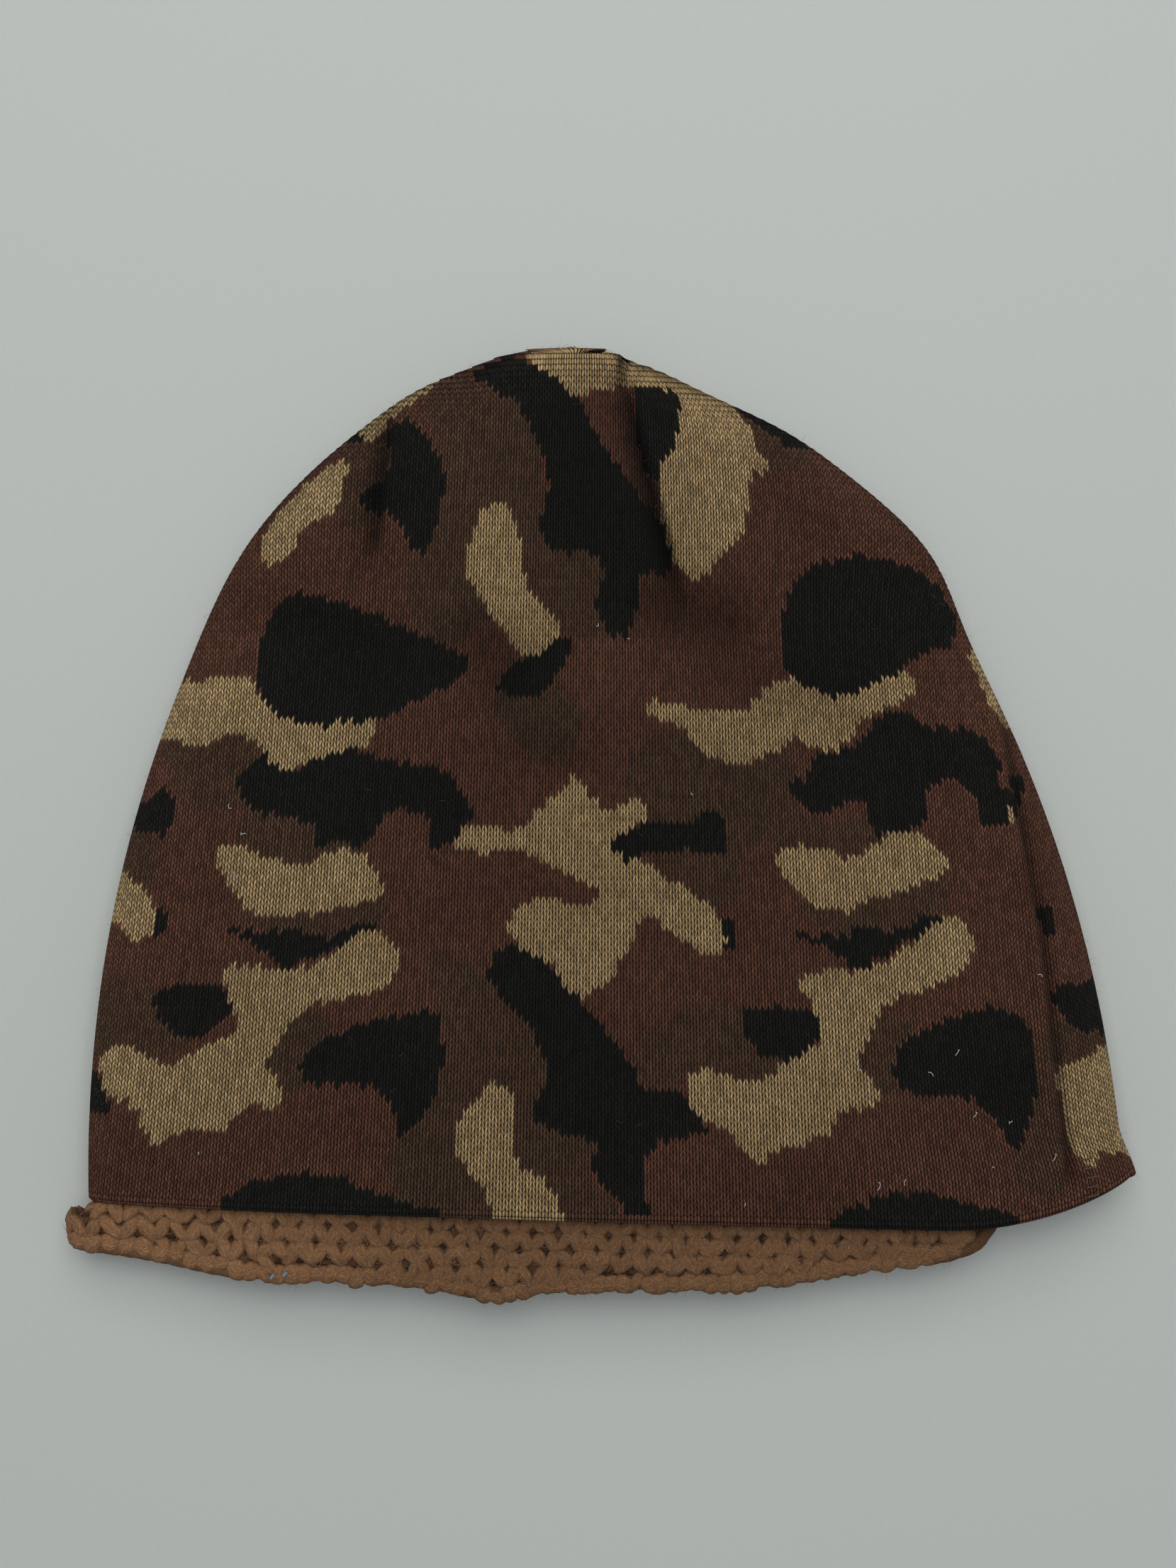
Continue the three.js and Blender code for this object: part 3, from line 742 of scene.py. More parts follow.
def knitted_wall(name, wall, yarn_at, material):
    """One wall of the shell, every stitch a V of two raised legs, with the hem turned under."""
    wales = 88
    k = np.arange(-4 * wales, 4 * wales + 1)
    flat = k / 4 * WALE
    legs, slant = QUARTER_HEIGHT[k % 4] * (1.0 if wall.upper else 0.7), QUARTER_SLANT[k % 4] * COURSE
    courses = int(HEIGHT / COURSE) + 1
    rows = []  # height above the hem, depth, v, slant share
    for up in (TURN_UNDER, TURN_UNDER / 2, 1.4):
        rows.append((up, SHELL_INSIDE, -2 - up / COURSE, 0.0))
    for turn in (150, 110, 70, 35):
        a = math.radians(turn)
        rows.append((HEM_RADIUS - HEM_RADIUS * math.sin(a), HEM_RADIUS - HEM_RADIUS * math.cos(a),
                     -turn / 90, 0.0))
    first = len(rows)
    for j in range(courses + 1):
        up = HEM_RADIUS + j * COURSE
        rows.append((up, 0.0, float(j), min(1.0, j / 2, max(0.0, (HEIGHT - 2 - up) / 10))))
    made = []
    for i, (up, depth, v, share) in enumerate(rows):
        x0 = np.clip(flat * narrowing(up), -FOLD, FOLD)
        y = up + slant * share + hem_line(x0) * (1 - np.clip(up, 0, 190) / 190)
        y = np.minimum(y, HEIGHT - 0.02)
        f = wall.share(flat * narrowing(y) - middle(y), y)
        fold = np.clip(np.abs(f), 0, 1) >= 1
        height = np.where(fold, EDGE_HEIGHT, legs) if i >= first else EDGE_HEIGHT
        x, z, across, lift = wall.point(f, y, depth + STITCH_HEIGHT - height)
        x = x + fullness(across, y)
        y = y + crown_overlap(x, y)
        if wall.upper:
            z = z + relief(x, y) * np.clip(lift * STEEPNESS, 0, 1)
        made.append((x, y, z, f, np.full(len(k), v)))
    x, y, z, f, v = (np.array(values) for values in zip(*made))

    def corners(a):
        return np.stack([a[:-1, :-1], a[:-1, 1:], a[1:, 1:], a[1:, :-1]], -1)

    fc, yc = corners(f), corners(y)
    past_crown = (yc >= HEIGHT - 0.03 + crown_overlap(corners(x), yc)).all(-1)
    keep = ~((fc >= 1).all(-1) | (fc <= -1).all(-1) | past_crown)
    columns = len(k)
    # Each stitch takes one yarn, found at its middle.
    wale = np.arange(columns - 1) // 4
    centre = np.clip(wale * 4 + 2, 0, columns - 1)
    cx = (x[:-1, :] + x[1:, :])[:, centre] / 2
    cy = (y[:-1, :] + y[1:, :])[:, centre] / 2
    cy[:first] = 2 * hem_line(cx[:first]) - cy[:first] + 1.5
    ragged = rng.normal(0, 0.38, len(k) // 4 + 1)[wale]  # each wale's colour changes a little early or late
    yarn = yarn_at(cx.ravel(), (cy + ragged).ravel()).reshape(cx.shape)
    # Painted shade of the upper wall's folds, dart, seam groove and dimple; none on the lower wall.
    painted_shade = shade(x, y).ravel() if wall.upper else np.zeros(x.size)
    points = np.stack([x, y, z], -1).reshape(-1, 3)
    uv = np.stack([np.broadcast_to(k / 4, x.shape), v], -1).reshape(-1, 2)
    faces = grid_faces(len(rows), columns, keep, turned=not wall.upper)
    return edited(new_mesh(name, points, faces, material, uv, yarn[keep], painted_shade), join_doubles)


def on_layer(wall, x, y, d):
    """The height of a layer over a place on the wall."""
    share = np.clip(np.abs((x - middle(y)) / np.maximum(half_width(y, d), 1e-6)), 0, 1)
    if wall.upper:
        unit = (1 - share**ARCH) ** (1 / ARCH)
    else:
        unit = -np.sqrt(1 - (np.clip(share - FLAT_SHARE, 0, 1) / BEND_SHARE) ** 2)
    return HALF + rise(y, d, wall.upper) * unit


def ring_section(near, far):
    """Round the whole hat: near places over the upper wall from back to front, then far ones back again."""
    a = np.linspace(0, math.pi, near, endpoint=False)
    b = np.linspace(-1, 1, far, endpoint=False)
    across, up = lower_section(np.abs(b))
    upper = np.stack([np.sign(np.cos(a)) * np.abs(np.cos(a)) ** (2 / ARCH), np.sin(a) ** (2 / ARCH)], -1)
    return np.concatenate([upper, np.stack([across * np.sign(b), up], -1)])


def settle(unit, height_at, d):
    """The heights of places round a layer, where the height follows from the place across."""
    y = height_at(np.zeros(len(unit)))
    for _ in range(8):
        y = height_at(middle(y) + half_width(y, d) * unit[:, 0])
    return y


def round_layer(unit, height_at, d):
    """Places round a layer of the hat."""
    y = settle(unit, height_at, d)
    x = middle(y) + half_width(y, d) * unit[:, 0]
    return x, y, HALF + np.where(unit[:, 1] > 0, rise(y, d, True), rise(y, d, False)) * unit[:, 1]


def layer_points(unit, height_at, d, mask=False):
    """A row of points round a layer."""
    x, y, z = round_layer(unit, height_at, d)
    upper = unit[:, 1] > 0
    if mask:
        x, z = flare(x, y, z, unit[:, 0], unit[:, 1])
    else:
        z = z + np.where(upper, np.minimum(relief(x, y), 0) * np.clip(unit[:, 1] * STEEPNESS, 0, 1), 0)
    return np.stack([x, y, z], -1)


def flare(x, y, z, across, up):
    """Below the hem the mask bulges at the front and sags, the far wall more than the near one."""
    near_sag, far_sag, front_bulge = 0.8, 4, 11.5
    out = smooth((hem_line(x) - 1 - y) / 10)
    bulge = smooth((hem_line(x) + 1.5 - y) / 6)
    sag = far_sag + (near_sag - far_sag) * (1 + up) / 2
    return x - front_bulge * bulge * np.clip(-across, 0, 1) ** 6, z - out * sag


def tube(name, unit, levels, outside, inside_depth, material, gauge, mask=False):
    """A closed knitted tube: outer face, top edge, inner face and bottom edge in one ring of rows."""
    between = (outside + inside_depth) / 2
    rows = [layer_points(unit, level, outside, mask) for level in levels]
    rows.append(layer_points(unit, lambda x: levels[-1](x) + 0.7, between, mask))
    rows += [layer_points(unit, level, inside_depth, mask) for level in reversed(levels)]
    rows.append(layer_points(unit, lambda x: levels[0](x) - 0.7, between, mask))
    rows.append(rows[0])
    points = np.array(rows)
    columns = len(unit)
    round_it = np.concatenate([[0], np.cumsum(np.linalg.norm(np.diff(points[0], axis=0), axis=1))])
    up_it = np.concatenate([[0], np.cumsum(np.abs(np.diff(points[:, columns // 4, 1])))])
    uv = np.stack(np.broadcast_arrays(round_it[None] / gauge[0], up_it[:, None] / gauge[1]), -1)
    faces = grid_faces(len(rows), columns, ring=True, turned=True)
    return edited(new_mesh(name, points.reshape(-1, 3), faces, material, uv.reshape(-1, 2)), join_doubles)


def rope(name, path, radius, sides, material, closed=False, lobes=0, lobe_height=0.0, twist=0.0):
    """A cord along a path, plain round or of twisted strands."""
    path = np.asarray(path, float)
    n = len(path)
    tangent = (np.roll(path, -1, 0) - np.roll(path, 1, 0)) if closed else np.gradient(path, axis=0)
    tangent /= np.maximum(np.linalg.norm(tangent, axis=1, keepdims=True), 1e-9)
    side = np.cross(tangent, np.broadcast_to([0.0, 0.0, 1.0], tangent.shape))
    weak = np.linalg.norm(side, axis=1) < 0.2
    side[weak] = np.cross(tangent[weak], [0.0, 1.0, 0.0])
    side /= np.linalg.norm(side, axis=1, keepdims=True)
    up = np.cross(side, tangent)
    step = np.linalg.norm(np.diff(path, axis=0), axis=1)
    along = np.concatenate([[0], np.cumsum(step)])
    a = np.linspace(0, 2 * math.pi, sides, endpoint=False)[None] + np.zeros((n, 1))
    r = np.full((n, sides), radius)
    if lobes:
        r += lobe_height * np.cos(lobes * a + along[:, None] * twist)
    round_it = np.cos(a)[..., None] * side[:, None] + np.sin(a)[..., None] * up[:, None]
    points = path[:, None] + r[..., None] * round_it
    uv = np.stack(np.broadcast_arrays(along[:, None], a / (2 * math.pi)), -1).reshape(-1, 2)
    points = points.reshape(-1, 3)
    faces = grid_faces(n, sides, ring=True, turned=True)
    end = (n - 1) * sides
    if closed:
        faces += [[end + i, i, (i + 1) % sides, end + (i + 1) % sides][::-1] for i in range(sides)]
    else:
        faces += [list(range(sides)), list(range(end, n * sides))[::-1]]
    return edited(new_mesh(name, points, faces, material, uv), face_out)


# ---------------------------------------------------------------- repeated stitches and hairs
class Tree:
    """A Geometry Nodes tree with named inputs, each a number."""

    def __init__(self, name, inputs):
        self.group = bpy.data.node_groups.new(name, "GeometryNodeTree")
        interface = self.group.interface
        interface.new_socket("Geometry", in_out="INPUT", socket_type="NodeSocketGeometry")
        interface.new_socket("Geometry", in_out="OUTPUT", socket_type="NodeSocketGeometry")
        self.sockets = {}
        for label, value in inputs.items():
            socket = interface.new_socket(label, in_out="INPUT", socket_type="NodeSocketFloat")
            socket.default_value = value
            self.sockets[label] = socket.identifier
        self.start = self.group.nodes.new("NodeGroupInput")
        self.end = self.group.nodes.new("NodeGroupOutput")

    def node(self, kind, settings=None, values=None, output=0):
        return add_node(self.group, kind, settings, values).outputs[output]

    def maths(self, operation, a, b):
        return self.node("ShaderNodeMath", {"operation": operation}, {0: a, 1: b})

    def given(self, label):
        return self.start.outputs[label]

    def named(self, attribute):
        kind = {"data_type": "FLOAT_VECTOR"}
        return self.node("GeometryNodeInputNamedAttribute", kind, {"Name": attribute}, "Attribute")

    def ruffled(self, geometry):
        """Pushes the surface in and out by a fine noise, so that no two stitches are alike."""
        normal = self.node("GeometryNodeInputNormal")
        coarse = self.node("ShaderNodeTexNoise", {}, {"Scale": 420.0, "Detail": 1.0})
        fine = self.node("ShaderNodeTexNoise", {}, {"Scale": 1500.0, "Detail": 2.0})
        centred = self.maths("SUBTRACT", self.maths("ADD", coarse, fine), 1.0)
        amount = self.maths("MULTIPLY", centred, self.given("Fuzz"))
        offset = self.node("ShaderNodeVectorMath", {"operation": "SCALE"}, {0: normal, "Scale": amount})
        return self.node("GeometryNodeSetPosition", {}, {"Geometry": geometry, "Offset": offset})

    def finish(self, shape, material, ruffle=False):
        """Puts the shape on every point, turned and sized by the points' own attributes."""
        turn = self.node("FunctionNodeEulerToRotation", {}, {0: self.named("turn")})
        copies = self.node("GeometryNodeInstanceOnPoints", {}, {
            "Points": self.given("Geometry"), "Instance": shape, "Rotation": turn,
            "Scale": self.named("size")})
        real = self.node("GeometryNodeRealizeInstances", {}, {0: copies})
        made = self.ruffled(real) if ruffle else real
        even = self.node("GeometryNodeSetShadeSmooth", {}, {0: made})
        painted = self.node("GeometryNodeSetMaterial", {}, {"Geometry": even, "Material": material})
        self.group.links.new(painted, self.end.inputs[0])
        return self


def plump_stitch(material, name, around, along):
    """One raised stitch: an egg of yarn that knows its own local place."""
    tree = Tree(name, {"Length": 1.0, "Width": 1.0, "Depth": 1.0, "Fuzz": 0.0})
    ball = tree.node("GeometryNodeMeshUVSphere", {}, {"Segments": around, "Rings": along, "Radius": 1.0})
    place = tree.node("GeometryNodeInputPosition")
    kept = tree.node("GeometryNodeStoreNamedAttribute", {"data_type": "FLOAT_VECTOR", "domain": "POINT"},
                     {"Geometry": ball, "Name": "stitch", "Value": place})
    sides = {i: tree.given(side) for i, side in enumerate(("Length", "Width", "Depth"))}
    size = tree.node("ShaderNodeCombineXYZ", {}, sides)
    shaped = tree.node("GeometryNodeTransform", {}, {"Geometry": kept, "Scale": size})
    return tree.finish(shaped, material, ruffle=True)


def bent_hair(material, name):
    """One fine hair that bends as it stands out from the yarn."""
    tree = Tree(name, {"Thickness": 0.00004})
    line = tree.node("GeometryNodeCurveQuadraticBezier", {}, {
        "Resolution": 3, "Start": (0, 0, 0), "Middle": (0.0002, 0, 0.0006), "End": (0.0010, 0.0002, 0.0008)})
    rim = tree.node("GeometryNodeCurvePrimitiveCircle", {},
                    {"Resolution": 3, "Radius": tree.given("Thickness")})
    hair = tree.node("GeometryNodeCurveToMesh", {}, {"Curve": line, "Profile Curve": rim})
    return tree.finish(hair, material)


def grow(name, tree, inputs, points, turns, sizes):
    """Runs a tree on a cloud of points and keeps the result as a plain mesh."""
    cloud = bpy.data.meshes.new(name + "_points")
    cloud.from_pydata(((np.asarray(points) + SHIFT) * MM).tolist(), [], [])
    for label, values in (("turn", turns), ("size", sizes)):
        attribute = cloud.attributes.new(label, "FLOAT_VECTOR", "POINT")
        attribute.data.foreach_set("vector", np.asarray(values, float).ravel())
    holder = placed(name + "_points", cloud)
    modifier = holder.modifiers.new("grow", "NODES")
    modifier.node_group = tree.group
    for label, value in inputs.items():
        modifier[tree.sockets[label]] = value
    depsgraph = bpy.context.evaluated_depsgraph_get()
    mesh = bpy.data.meshes.new_from_object(holder.evaluated_get(depsgraph), preserve_all_data_layers=True,
                                           depsgraph=depsgraph)
    holder.modifiers.clear()
    bpy.data.objects.remove(holder)
    bpy.data.meshes.remove(cloud)
    mesh.name = name
    for label in ("turn", "size"):
        if label in mesh.attributes:
            mesh.attributes.remove(mesh.attributes[label])
    return placed(name, mesh)


def turned(x_axis, z_axis):
    """Euler angles of a frame with its z along z_axis and its x near x_axis."""
    z = Vector(z_axis).normalized()
    y = z.cross(Vector(x_axis)).normalized()
    return Matrix((y.cross(z), y, z)).transposed().to_euler()


def mask_surface(wall, flat, y, d):
    """A place on the mask, with flat measured across at the hem's scale, and how the mask faces there."""
    def at(t, h):
        f = np.clip(wall.share(t * half_width(h, MASK_OUTSIDE) / MASK_HALF_WIDTH, h), -1, 1)
        x, z, across, up = wall.point(f, h, d)
        x, z = flare(x, h, z, across, up)
        return np.stack([x, h, z], -1)

    here = at(flat, y)
    right, up = at(flat + 0.5, y) - at(flat - 0.5, y), at(flat, y + 0.5) - at(flat, y - 0.5)
    out = np.cross(right, up) * (1 if wall.upper else -1)
    return here, right, out / np.maximum(np.linalg.norm(out, axis=1, keepdims=True), 1e-9)


def stitches_on_mask(wall, courses):
    """Places and leans of one wall's raised legs: the zigzag courses meet in an open lattice."""
    spots = []
    for m in courses:
        i = np.arange(82)
        flat = -124 + MASK_WALE / 2 * i
        x = np.clip(flat, -FOLD, FOLD)
        y = hem_line(x) - 1.6 + MASK_COURSE * m
        fits = (y > neck_line(x) - 0.8) & (y < eye_line(x) - 1.5)
        spots.append(np.stack([flat, y, np.where((i + m) % 2, -1.0, 1.0)], -1)[fits])
    flat, y, lean = np.concatenate(spots).T
    on = np.abs(wall.share(flat * half_width(y, MASK_OUTSIDE) / MASK_HALF_WIDTH, y)) < 1.0
    return flat[on], y[on], lean[on]


def raised_stitches(name, wall, tree, courses, fuzz):
    flat, y, lean = stitches_on_mask(wall, courses)
    flat = flat + rng.normal(0, 0.2, len(flat))
    y = y + rng.normal(0, 0.2, len(y))
    here, right, out = mask_surface(wall, flat, y, MASK_OUTSIDE + 0.95)
    narrow = half_width(y, MASK_OUTSIDE) / MASK_HALF_WIDTH
    turns, sizes = [], []
    for i in range(len(flat)):
        slant = math.radians(lean[i] * (57 + rng.normal(0, 8)))
        turn = Matrix.Rotation(slant, 3, Vector(out[i]))
        turns.append(turned(turn @ Vector(right[i]), out[i]))
        s = narrow[i] * (1 + rng.normal(0, 0.05))
        sizes.append((s, s * (1 + rng.normal(0, 0.07)), 1 + rng.normal(0, 0.08)))
    shape = {"Length": 0.0038, "Width": 0.0018, "Depth": 0.0018, "Fuzz": fuzz}
    return grow(name, tree, shape, here, turns, sizes)


def cast_off_stitches(name, tree):
    """The plump scallops along the neck edge, on both walls."""
    points, turns, sizes = [], [], []
    for wall in (UPPER, LOWER):
        flat = np.append(-122 + MASK_WALE / 2 * np.arange(82), np.arange(83.5, 92, 2.0))
        flat = flat[np.abs(wall.share(flat, neck_line(flat))) < 1.0]
        y = neck_line(np.clip(flat, -FOLD, FOLD)) - 2.2
        here, right, out = mask_surface(wall, flat, y, MASK_MIDDLE)
        for i in range(len(flat)):
            slant = math.radians((25 if i % 2 else -15) + rng.normal(0, 12))
            turn = Matrix.Rotation(slant, 3, Vector(out[i]))
            points.append(here[i] + [0, rng.normal(0, 0.35), 0])
            turns.append(turned(turn @ Vector(right[i]), out[i]))
            sizes.append((1 + rng.normal(0, 0.08), 1 + rng.normal(0, 0.12), 1.0))
    shape = {"Length": 0.0029, "Width": 0.0023, "Depth": 0.0024, "Fuzz": 0.0009}
    return grow(name, tree, shape, points, turns, sizes)


# ---------------------------------------------------------------- the hat's body
camo = camo_knit()
shell_near = knitted_wall("shell_near_wall", UPPER, upper_yarn, camo)
shell_far = knitted_wall("shell_far_wall", LOWER, lower_yarn, camo)

hat_levels = [lambda x, s=math.sin(math.pi / 2 * i / 44): (hem_line(x) + 1.2) * (1 - s) + (HEIGHT - 3.2) * s
              for i in range(45)]
lining = tube("lining_knit", ring_section(70, 70), hat_levels, LINING_OUTSIDE, LINING_INSIDE, lining_knit(),
              (1.3, 1.2))

thread = spun_thread("sewing thread", (0.060, 0.042, 0.034), (0.030, 0.021, 0.018), 6.0)
LOOP_WIDTH, LOOP_PITCH = 5.0, 2.4


def overlock(name, upper, start, end, curve=None):
    """Thread looped to and fro over a seam allowance."""
    wall = UPPER if upper else LOWER
    length = math.hypot(end[0] - start[0], end[1] - start[1])
    t = np.linspace(0, 1, int(length / LOOP_PITCH) * 8 + 1)
    turn = t * length / LOOP_PITCH * 2 * math.pi
    y = start[1] + (end[1] - start[1]) * t
    x = (curve(y) if curve else start[0] + (end[0] - start[0]) * t) + np.sin(turn) * LOOP_WIDTH / 2
    y = y + np.sin(2 * turn) * 0.5
    z = on_layer(wall, x, y, SEAM_DEPTH)
    if upper:
        z = z + np.minimum(relief(x, y), 0)
    return rope(name, np.stack([x, y, z], -1), 0.22, 5, thread)


def crown_place(across, below):
    y = HEIGHT - below
    return float(middle(y)) + across, y


seams = [
    overlock("seam_loops_back", True, (0, 10), (0, 98), curve=lambda y: middle(y) + half_width(y) - 15),
    overlock("seam_loops_lining", False, (0, 21), (0, 99), curve=lambda y: middle(y) + 58),
    overlock("seam_loops_dart_1", True, crown_place(-47, 50), crown_place(-40, 22)),
    overlock("seam_loops_dart_2", True, crown_place(21, 54), crown_place(11, 13)),
    overlock("seam_loops_dart_3", False, crown_place(-38, 56), crown_place(-26, 18)),
    overlock("seam_loops_dart_4", False, crown_place(38, 56), crown_place(26, 18)),
]


def hem_loops():
    """Thread that zigzags round the hem between the shell and the lining."""
    a = ring_section(340, 340)
    wave = np.where(np.arange(len(a)) % 4 < 2, 1.3, -1.3) * np.where(np.arange(len(a)) % 2, 1, 0.6)
    y = settle(a, lambda x: hem_line(x) + 4.5, SEAM_DEPTH) + wave
    x = middle(y) + half_width(y, SEAM_DEPTH) * a[:, 0]
    z = HALF + np.where(a[:, 1] > 0, rise(y, SEAM_DEPTH, True), rise(y, SEAM_DEPTH, False)) * a[:, 1]
    return rope("seam_loops_hem", np.stack([x, y, z], -1), 0.2, 5, thread, closed=True)


hem_thread = hem_loops()
angle = np.linspace(0, 4 * math.pi, 40)
coil = np.stack([float(middle(HEIGHT)) + 0.3 * np.cos(angle), HEIGHT - 2.3 + 0.3 * np.sin(angle),
                 HALF + np.linspace(-0.3, 0.3, 40)], -1)
knot = rope("crown_knot", coil, 0.14, 6, thread)


def ladder():
    """Short bars of thread across the foot of the back seam."""
    bars = []
    for i in range(5):
        y = 5.0 + i * 2.1
        x = back_seam(y) + np.linspace(2.0, 4.6, 7) + i * 0.15
        h = y + np.linspace(-0.25, 0.25, 7)
        z = on_layer(UPPER, x, h, 0.0) + relief(x, h) + 0.15 + 0.25 * np.sin(np.linspace(0, math.pi, 7))
        x = x + fullness((x - middle(h)) / half_width(h), h)
        bars.append(rope(f"seam_ladder_{i}", np.stack([x, h, z], -1), 0.16, 5, seam_bar))
    return bars


def joined(name, pieces):
    """Several meshes as one piece."""
    work = bmesh.new()
    for piece in pieces:
        work.from_mesh(piece.data)
    mesh = bpy.data.meshes.new(name)
    work.to_mesh(mesh)
    work.free()
    for material in pieces[0].data.materials:
        mesh.materials.append(material)
    for piece in pieces:
        bpy.data.objects.remove(piece)
    return placed(name, mesh)


seam_bar = spun_thread("seam bar thread", (0.14, 0.085, 0.062), (0.07, 0.04, 0.03), 6.0)
seam_ladder = joined("seam_ladder", ladder())


def care_label():
    """A short woven tape, sewn to the lining on the lower wall, blank."""
    rows, columns = 13, 25
    y = np.linspace(137.3, 154.7, rows)[:, None] + np.zeros((1, columns))
    x = np.linspace(-20.6, 10.6, columns)[None] + np.zeros((rows, 1))
    depth = LINING_INSIDE + 0.42 + 0.10 * np.sin(x / 4) * np.sin(y / 5)
    z = on_layer(LOWER, x, y, depth)
    u, v = np.linspace(0, 1, columns)[None] + 0 * x, np.linspace(0, 1, rows)[:, None] + 0 * x
    piece = new_mesh("label_tape", np.stack([x, y, z], -1).reshape(-1, 3), grid_faces(rows, columns),
                     woven_label(), np.stack([u, v], -1).reshape(-1, 2))
    thick = piece.modifiers.new("thickness", "SOLIDIFY")
    thick.thickness = 0.0004
    thick.offset = 1.0
    return piece


label = care_label()

# ---------------------------------------------------------------- the mask
yarn = chunky_yarn("mask yarn", (0.385, 0.205, 0.100), (0.230, 0.113, 0.050))
mask_levels = []
for i in range(49):
    def level(x, i=i):
        edge = neck_line(x)
        under = np.maximum(hem_line(x) - 1, edge + 1.5)
        if i <= 8:
            return edge + (under - edge) * i / 8
        return under + (eye_line(x) - under) * (i - 8) / 40
    mask_levels.append(level)
mask_base = tube("mask_fabric", ring_section(90, 90), mask_levels, MASK_OUTSIDE + 0.9, MASK_INSIDE,
                 base_yarn(), (MASK_WALE, MASK_COURSE), mask=True)
stitch = plump_stitch(yarn, "plump stitch", 8, 5)
fine_stitch = plump_stitch(yarn, "fine plump stitch", 18, 13)
stitches_edge = raised_stitches("mask_stitches_edge", UPPER, fine_stitch, range(-5, 1), 0.0012)
stitches_near = raised_stitches("mask_stitches_near", UPPER, stitch, range(1, 34), 0.0004)
stitches_far = raised_stitches("mask_stitches_far", LOWER, stitch, range(-5, 34), 0.0004)
neck_stitches = cast_off_stitches("neck_edge_stitches", plump_stitch(yarn, "cast-off stitch", 18, 13))


def edge_rope(name, level, side, away, unit, radius, closed, **strands):
    x, y, z = round_layer(unit, lambda x: level(x) + side * away, MASK_MIDDLE)
    x, z = flare(x, y, z, unit[:, 0], unit[:, 1])
    return rope(name, np.stack([x, y, z], -1), radius, 10, cord_material, closed=closed, **strands)


cord_material = spun_thread("mask cord", (0.235, 0.135, 0.078), (0.120, 0.066, 0.036), 2.4)
ring = ring_section(220, 220)
neck_core = edge_rope("neck_edge_core", neck_line, -1, 2.2, ring, 1.6, True, lobes=3, lobe_height=0.1,
                      twist=1.6)
# The core has no stitch attribute, so the yarn shader paints it a uniform darker brown, as painted shade beneath
# the cast-off stitches.
neck_core.data.materials[0] = yarn
start = int(np.flatnonzero(ring[:, 0] < 0.1)[0])
front = np.concatenate([ring[start:220], ring[220:][ring[220:, 0] < 0.1]])
back = np.concatenate([ring[220:][ring[220:, 0] > 0.25], ring[:220][ring[:220, 0] > 0.25]])
eye_cord = edge_rope("eye_opening_roll", eye_line, 1, 1.85, front, 1.25, False, lobes=3, lobe_height=0.22,
                     twist=1.9)
join_thread = edge_rope("mask_join_stitches", eye_line, 1, 0.95, back, 0.45, False, lobes=2, lobe_height=0.12,
                        twist=2.6)


def mask_seam():
    """The mask's own side seam, sewn with its yarn inside the back fold."""
    t = np.linspace(0.08, 0.86, 160)
    y = neck_line(FOLD) + (MASK_TOP - neck_line(FOLD)) * t
    x = middle(y) + half_width(y, MASK_INSIDE) * 0.72 + 1.9 * np.sin(t * 260)
    z = on_layer(UPPER, x, y, MASK_INSIDE + 0.95)
    return rope("mask_seam_stitches", np.stack([x, y, z], -1), 0.5, 6, cord_material)


seam_yarn = mask_seam()


# ---------------------------------------------------------------- hairs, lint
def hairs(name, points, normals, material, length, thickness):
    turns, sizes = [], []
    for normal in normals:
        lean = Vector(rng.normal(0, 0.6, 3)) + Vector(normal)
        turns.append(turned(Vector(rng.normal(0, 1, 3)), lean))
        s = length * (0.5 + rng.random() ** 2 * 1.2)
        sizes.append((s, s, s))
    return grow(name, bent_hair(material, name + " hair"), {"Thickness": thickness}, points, turns, sizes)


def on_piece(piece, count, most_down=-0.3):
    """Random places on a piece's faces."""
    mesh = piece.data
    n = len(mesh.polygons)
    centres, normals, areas = np.zeros(n * 3), np.zeros(n * 3), np.zeros(n)
    mesh.polygons.foreach_get("center", centres)
    mesh.polygons.foreach_get("normal", normals)
    mesh.polygons.foreach_get("area", areas)
    centres, normals = centres.reshape(-1, 3) / MM - SHIFT, normals.reshape(-1, 3)
    weight = areas * (normals[:, 2] > most_down)
    pick = rng.choice(n, count, p=weight / weight.sum())
    return centres[pick], normals[pick]


wisp = lint_fluff("yarn wisp", (0.36, 0.20, 0.105), 0.12)
down = lint_fluff("knit down", (0.13, 0.085, 0.065), 0.12)
points, normals = on_piece(neck_stitches, 2600)
more_points, more_normals = on_piece(stitches_edge, 5200, 0.2)
mask_hairs = hairs("mask_hairs", np.concatenate([points, more_points]),
                   np.concatenate([normals, more_normals]), wisp, 1.1, 0.000022)
points, normals = on_piece(shell_near, 22000)
rim = np.abs((points[:, 0] - middle(points[:, 1])) / np.maximum(half_width(points[:, 1]), 1)) > 0.97
shell_hairs = hairs("shell_hairs", np.concatenate([points[rim], points[:500]]),
                    np.concatenate([normals[rim], normals[:500]]), down, 0.85, 0.000018)


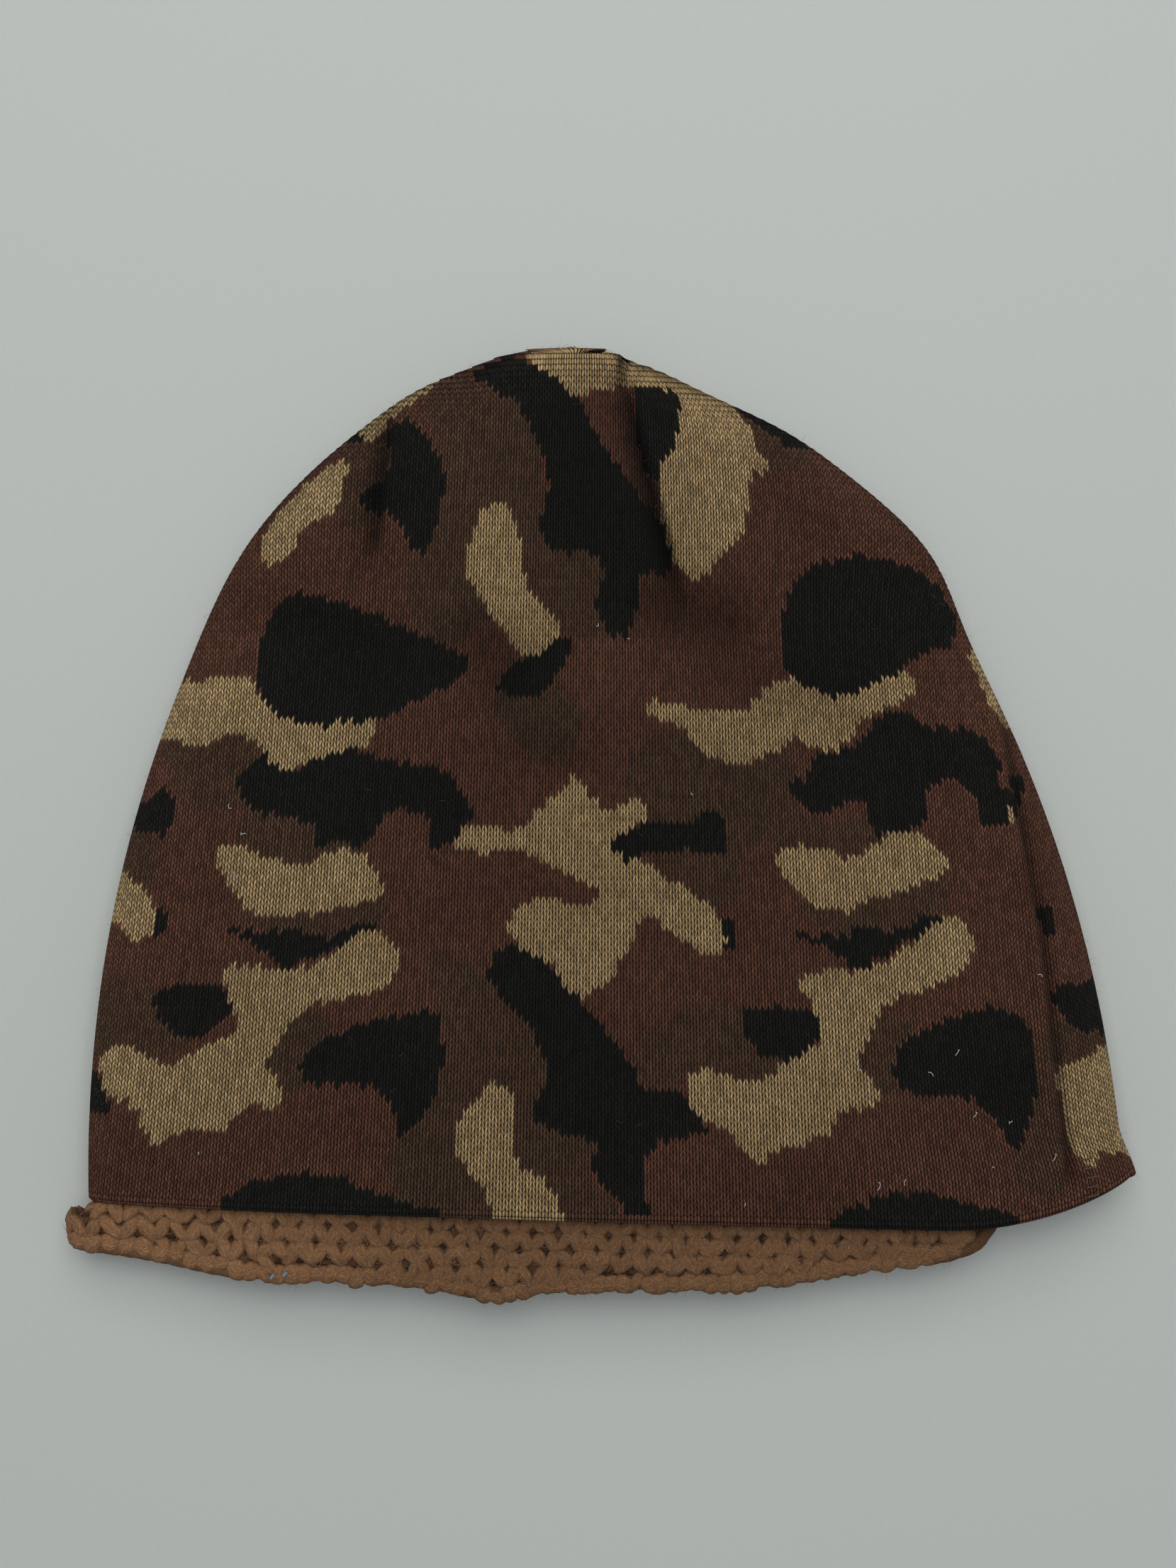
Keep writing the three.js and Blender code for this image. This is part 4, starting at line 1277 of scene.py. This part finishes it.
def lint():
    """White specks of fluff, most of them low on the back of the near wall."""
    spots = [(72, 33, 1.0), (78, 38, 1.1), (82, 24, 1.1), (97, 55, 1.2), (60, 8, 1.3), (66, 9, 1.0),
             (100, 14, 1.2), (-85, 78, 0.9), (-86, 93, 0.9), (-83, 87, 1.0), (18, 96, 0.5), (-3, 134, 0.6),
             (4, 131, 0.5),
             (90, 22, 0.8), (56, 34, 0.7), (104, 79, 0.7), (-93, 15, 0.6), (30, 4, 0.6), (86, 12, 0.6)]
    bits = []
    for i, (x, y, size) in enumerate(spots):
        t = np.linspace(0, 1, 12)
        a, b, c = rng.uniform(0, 6.28, 3)
        size = 0.75 * size
        px = x + size * (np.cos(a) * (t - 0.5) * 1.6 + 0.35 * np.sin(5 * t + b))
        py = y + size * (np.sin(a) * (t - 0.5) * 1.6 + 0.35 * np.cos(6 * t + c))
        pz = on_layer(UPPER, px, py, 0.0) + relief(px, py) + 0.30 + 0.12 * np.sin(7 * t + a)
        bits.append(rope(f"lint_{i}", np.stack([px, py, pz], -1), 0.06 + 0.02 * size, 4, white_lint))
    return joined("lint_specks", bits)


def blue_specks():
    """Two specks of blue fluff caught in the yarn near the neck edge."""
    here, _, _ = mask_surface(UPPER, np.array([-77.6, -74.8]), np.array([-13.4, -12.8]), 2.7)
    bits = []
    for i, place in enumerate(here):
        t = np.linspace(0, 5, 10)
        path = place + 0.42 * np.stack([np.cos(t), np.sin(1.3 * t), 0.3 * np.sin(2 * t)], -1)
        bits.append(rope(f"blue_{i}", path, 0.22, 5, blue_lint))
    return joined("blue_specks", bits)


white_lint = lint_fluff("white lint", (0.60, 0.60, 0.58))
blue_lint = lint_fluff("blue lint", (0.13, 0.20, 0.27), 0.3)
lint_specks = lint()
mask_specks = blue_specks()

# ---------------------------------------------------------------- riding, standing for the solids
for piece in [shell_near, shell_far, lining, hem_thread, knot, seam_ladder, label, shell_hairs, lint_specks,
              *seams]:
    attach(piece, "hat")
for piece in [mask_base, stitches_edge, stitches_near, stitches_far, neck_stitches, neck_core, eye_cord,
              join_thread, seam_yarn, mask_hairs, mask_specks]:
    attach(piece, "mask")

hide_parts("outer_shell")
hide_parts("lining")
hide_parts("hem_seam_thread")
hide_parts("back_seam_overlock")
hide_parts("lining_seam_overlock")
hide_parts("upper_front_dart_overlock")
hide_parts("upper_back_dart_overlock")
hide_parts("lower_front_dart_overlock")
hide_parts("lower_back_dart_overlock")
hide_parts("crown_tack_stitch")
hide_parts("care_label")
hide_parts("mask_tube")
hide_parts("mask_seam_thread")
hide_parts("neck_edge_cord")
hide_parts("eye_opening_cord")
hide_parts("mask_join_thread")

# ---------------------------------------------------------------- table, light, camera
bpy.ops.mesh.primitive_plane_add(size=3.0, location=(0, 0, -0.0003))
table = bpy.context.object
table.name = "table_top"
table.data.materials.append(pale_table())


def soft_light(name, place, size, power):
    """A square lamp that faces the hat."""
    lamp = bpy.data.lights.new(name, "AREA")
    lamp.shape, lamp.size, lamp.energy = "SQUARE", size, power
    light = placed(name, lamp)
    light.location = place
    light.rotation_euler = (Vector((0, 0, 0)) - Vector(place)).to_track_quat("-Z", "Y").to_euler()


soft_light("window", (0.02, 0.70, 1.05), 1.0, 7.0)
soft_light("ceiling", (0.0, 0.25, 1.6), 1.2, 9.5)

world = bpy.data.worlds.new("room")
bpy.context.scene.world = world
world.use_nodes = True
sky = world.node_tree.nodes["Background"]
sky.inputs["Color"].default_value = (0.86, 0.93, 1.0, 1)
sky.inputs["Strength"].default_value = 0.24

camera = bpy.data.cameras.new("camera")
camera.lens = 50
camera.clip_start = 0.01
viewer = placed("camera", camera)
viewer.location = (-0.0031, 0.0088, 0.5115)
bpy.context.scene.camera = viewer
bpy.context.scene.view_settings.view_transform = "Standard"
